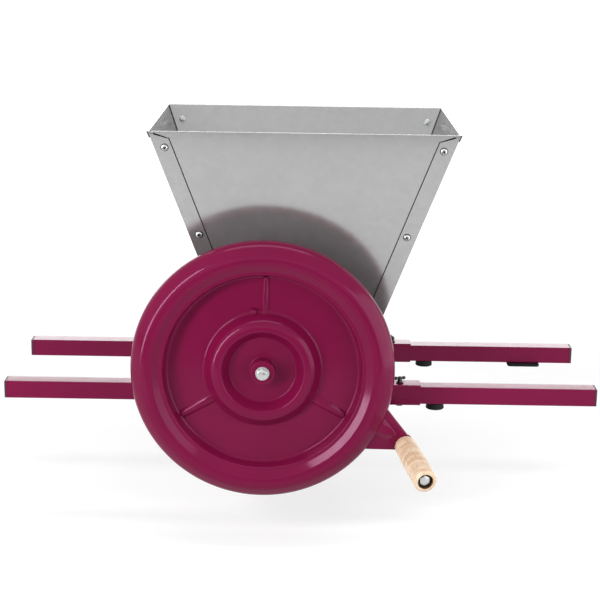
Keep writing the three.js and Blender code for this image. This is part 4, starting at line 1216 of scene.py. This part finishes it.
class SCRATTER_OT_hub_bolt(bpy.types.Operator):
    """Washer and hexagon bolt that hold the hub on the shaft"""

    bl_idname = "scratter.hub_bolt"
    bl_label = "Hub bolt"

    def execute(self, context):
        low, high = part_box("hub_washer")
        line = rounded_line([(4.3 * MM, low.y), (9.5 * MM, low.y, 0.5 * MM), (9.5 * MM, high.y, 0.2 * MM),
                             (4.3 * MM, high.y)])
        piece("hub_washer_stamped", [turned(line, Y_AXIS, SHAFT_CENTRE, 72, closed=True)],
              "zinc_plated_steel", "hub_washer")
        low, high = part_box("hub_bolt")
        back = low.y + 5.3 * MM
        head = aimed(hex_prism(13 * MM, 0.0, 5.3 * MM), -Y_AXIS, SHAFT_CENTRE + Y_AXIS * back)
        stem = turned([(0, back - 0.1 * MM), *thread_line(4 * MM, back - 0.1 * MM, high.y, 1.25 * MM),
                       (0, high.y)], Y_AXIS, SHAFT_CENTRE, 40)
        piece("hub_bolt_hexagon", [head, stem], "zinc_plated_steel", "hub_bolt")
        return {"FINISHED"}


class SCRATTER_OT_crank_grip(bpy.types.Operator):
    """Turned beech grip with its bolt and nut"""

    bl_idname = "scratter.crank_grip"
    bl_label = "Crank grip"

    def execute(self, context):
        out = GRIP_AXIS if GRIP_AXIS.y < 0 else -GRIP_AXIS
        line = rounded_line(in_metres([
            (4.3, 0.3), (14.75, 0.3, 1.6), (15.0, 10, 40), (15.75, 45, 200), (15.75, 85, 120),
            (15.5, 113.3, 3.2), (10.3, 113.3, 0.8), (10, 104.3, 0.4), (4.3, 104.3)]), 7)
        grip = turned(line, out, GRIP_PLACE, 96, closed=True)
        piece("crank_grip_turned", [grip], "turned_beech", "crank_grip")
        head = aimed(hex_prism(13 * MM, 0.0, 5.3 * MM), out, GRIP_PLACE + out * 104.6 * MM)
        stem = turned([(0, -11.5 * MM), *thread_line(4 * MM, -11.3 * MM, 0, 1.25 * MM),
                       (4 * MM, 0.1 * MM), (4 * MM, 104.7 * MM), (0, 104.7 * MM)], out, GRIP_PLACE, 40)
        piece("grip_bolt_hexagon", [head, stem], "zinc_plated_steel", "grip_bolt")
        nut = aimed(hex_prism(13 * MM, 0.0, 6.5 * MM), -out, GRIP_PLACE - out * 3.3 * MM)
        piece("grip_nut_hexagon", [nut], "zinc_plated_steel", "grip_nut")
        return {"FINISHED"}


class SCRATTER_OT_bare_nodes(bpy.types.Operator):
    """Finishes for the packed nodes that keep their own shape"""

    bl_idname = "scratter.bare_nodes"
    bl_label = "Pin and key"

    def execute(self, context):
        for name in ("drum_pin", "flywheel_key"):
            slots = frame["nodes"][name].material_slots
            for slot in slots:
                slot.material = finish_named("dark_steel")
        return {"FINISHED"}


# Stage


class SCRATTER_OT_stage(bpy.types.Operator):
    """White floor, soft lamps and the camera"""

    bl_idname = "scratter.stage"
    bl_label = "Stage"

    def execute(self, context):
        sizes = context.scene.scratter_stage
        self.floor(sizes)
        self.world(context, sizes)
        middle = (0.0, -0.1, 0.15)
        self.lamp("key_lamp", (-1.4, -1.36, 0.52), middle, (0.32, 1.6), sizes.key_power, -28)
        self.lamp("top_lamp", (0.0, -0.55, 2.1), middle, (1.8, 0.45), sizes.top_power)
        self.lamp("fill_lamp", (1.05, -0.55, 0.25), middle, (1.5, 0.84), sizes.fill_power)
        self.lamp("front_lamp", (0.0, -3.0, 0.95), middle, (2.6, 1.0), sizes.front_power)
        self.lamp("back_lamp", (0.0, 2.4, 0.67), (0.0, 0.0, 0.1), (4.4, 0.36), sizes.back_power)
        self.camera(context, sizes)
        context.scene.view_settings.view_transform = "Standard"
        return {"FINISHED"}

    @staticmethod
    def largest(tree, values):
        """The largest of some grey values."""
        total = values[0]
        for value in values[1:]:
            total = combined(tree, "MAXIMUM", total, value)
        return total

    def floor(self, sizes):
        """A wide floor that looks white and keeps the shadow."""
        shell = bmesh.new()
        bmesh.ops.create_grid(shell, x_segments=4, y_segments=4, size=15.0)
        bmesh.ops.translate(shell, vec=(0, 15.0 - sizes.floor_front, sizes.floor_height),
                            verts=shell.verts)
        floor = put_in_scene("floor", [shell])
        material = bpy.data.materials.new("white_floor")
        material.use_nodes = True
        tree = material.node_tree
        shader = tree.nodes["Principled BSDF"]
        shader.inputs["Base Color"].default_value = (0.6, 0.6, 0.6, 1.0)
        shader.inputs["Roughness"].default_value = 0.9
        shader.inputs["Specular IOR Level"].default_value = 0.0
        shader.inputs["Emission Color"].default_value = (1.0, 1.0, 1.0, 1.0)
        rays = tree.nodes.new("ShaderNodeLightPath").outputs
        seen = self.largest(tree, [
            rays["Is Camera Ray"], rays["Is Glossy Ray"], rays["Is Transmission Ray"]])
        distance = length_of(tree, tree.nodes.new("ShaderNodeTexCoord").outputs["Object"])
        glow = combined(tree, "MULTIPLY", seen, ranged(tree, distance, sizes.floor_glow, 0.82, 0.9, 2.2))
        tree.links.new(glow, shader.inputs["Emission Strength"])
        floor.data.materials.append(material)

    def world(self, context, sizes):
        """White to the camera, white above the horizon to metal and glass, and soft light elsewhere."""
        world = bpy.data.worlds.new("white_room")
        context.scene.world = world
        world.use_nodes = True
        tree = world.node_tree
        background = tree.nodes["Background"]
        background.inputs["Color"].default_value = (1.0, 1.0, 1.0, 1.0)
        rays = tree.nodes.new("ShaderNodeLightPath").outputs
        apart = tree.nodes.new("ShaderNodeSeparateXYZ")
        tree.links.new(tree.nodes.new("ShaderNodeTexCoord").outputs["Generated"], apart.inputs["Vector"])
        reflected = self.largest(tree, [rays["Is Glossy Ray"], rays["Is Transmission Ray"]])
        height = ranged(tree, apart.outputs["Z"], 0.0, 1.0, -0.04, 0.06)
        above = combined(tree, "MULTIPLY", reflected, height)
        seen = self.largest(tree, [above, rays["Is Camera Ray"]])
        tree.links.new(ranged(tree, seen, sizes.room_light, 1.0, 0.0, 1.0), background.inputs["Strength"])

    @staticmethod
    def lamp(name, place, target, size, power, roll=0):
        """A rectangular soft lamp aimed at a target and rolled by an angle in degrees."""
        data = bpy.data.lights.new(name, "AREA")
        data.shape = "RECTANGLE"
        data.size, data.size_y = size
        data.energy = power
        lamp = bpy.data.objects.new(name, data)
        lamp.location = place
        aim = Vector(target) - Vector(place)
        turn = aim.to_track_quat("-Z", "Y").to_matrix() @ Matrix.Rotation(math.radians(roll), 3, "Z")
        lamp.rotation_euler = turn.to_euler()
        lamp.visible_camera = False
        bpy.context.scene.collection.objects.link(lamp)

    @staticmethod
    def camera(context, sizes):
        """The camera in front of the flywheel, a little above, looking down."""
        data = bpy.data.cameras.new("camera")
        data.sensor_width = 36.0
        data.lens = sizes.lens
        camera = bpy.data.objects.new("camera", data)
        camera.matrix_world = (
            Matrix.Translation((0.0013, -2.1489, 0.6748))
            @ Matrix.Rotation(math.radians(0.1134), 4, "Z")
            @ Matrix.Rotation(math.radians(90 - 14.2626), 4, "X")
            @ Matrix.Rotation(math.radians(0.8431), 4, "Z"))
        context.scene.collection.objects.link(camera)
        context.scene.camera = camera


class SCRATTER_PT_panel(bpy.types.Panel):
    """Lists the scratter's pieces in the sidebar"""

    bl_idname = "SCRATTER_PT_panel"
    bl_label = "Apple Scratter"
    bl_space_type = "VIEW_3D"
    bl_region_type = "UI"
    bl_category = "Scratter"

    def draw(self, context):
        for operator in OPERATORS:
            self.layout.operator(operator.bl_idname)
        for name, group in SETTINGS.items():
            box = self.layout.box()
            box.label(text=group.__doc__.rstrip("."))
            for key in group.__annotations__:
                box.prop(getattr(context.scene, name), key)


OPERATORS = (
    SCRATTER_OT_stage,
    SCRATTER_OT_sleeves,
    SCRATTER_OT_arms,
    SCRATTER_OT_feet,
    SCRATTER_OT_clamp_bolts,
    SCRATTER_OT_housing,
    SCRATTER_OT_bearings,
    SCRATTER_OT_pressure_plate,
    SCRATTER_OT_drum,
    SCRATTER_OT_hopper,
    SCRATTER_OT_hopper_screws,
    SCRATTER_OT_flywheel,
    SCRATTER_OT_hub_bolt,
    SCRATTER_OT_crank_grip,
    SCRATTER_OT_bare_nodes,
)


def register():
    """Registers the settings, operators and panel."""
    for name, group in SETTINGS.items():
        bpy.utils.register_class(group)
        setattr(bpy.types.Scene, name, PointerProperty(type=group))
    for operator in OPERATORS:
        bpy.utils.register_class(operator)
    bpy.utils.register_class(SCRATTER_PT_panel)


def unregister():
    """Takes them out again."""
    bpy.utils.unregister_class(SCRATTER_PT_panel)
    for operator in reversed(OPERATORS):
        bpy.utils.unregister_class(operator)
    for name, group in reversed(SETTINGS.items()):
        delattr(bpy.types.Scene, name)
        bpy.utils.unregister_class(group)


def main():
    """Makes every piece and the stage."""
    register()
    for operator in OPERATORS:
        group, name = operator.bl_idname.split(".")
        getattr(getattr(bpy.ops, group), name)()


if __name__ == "__main__":
    main()
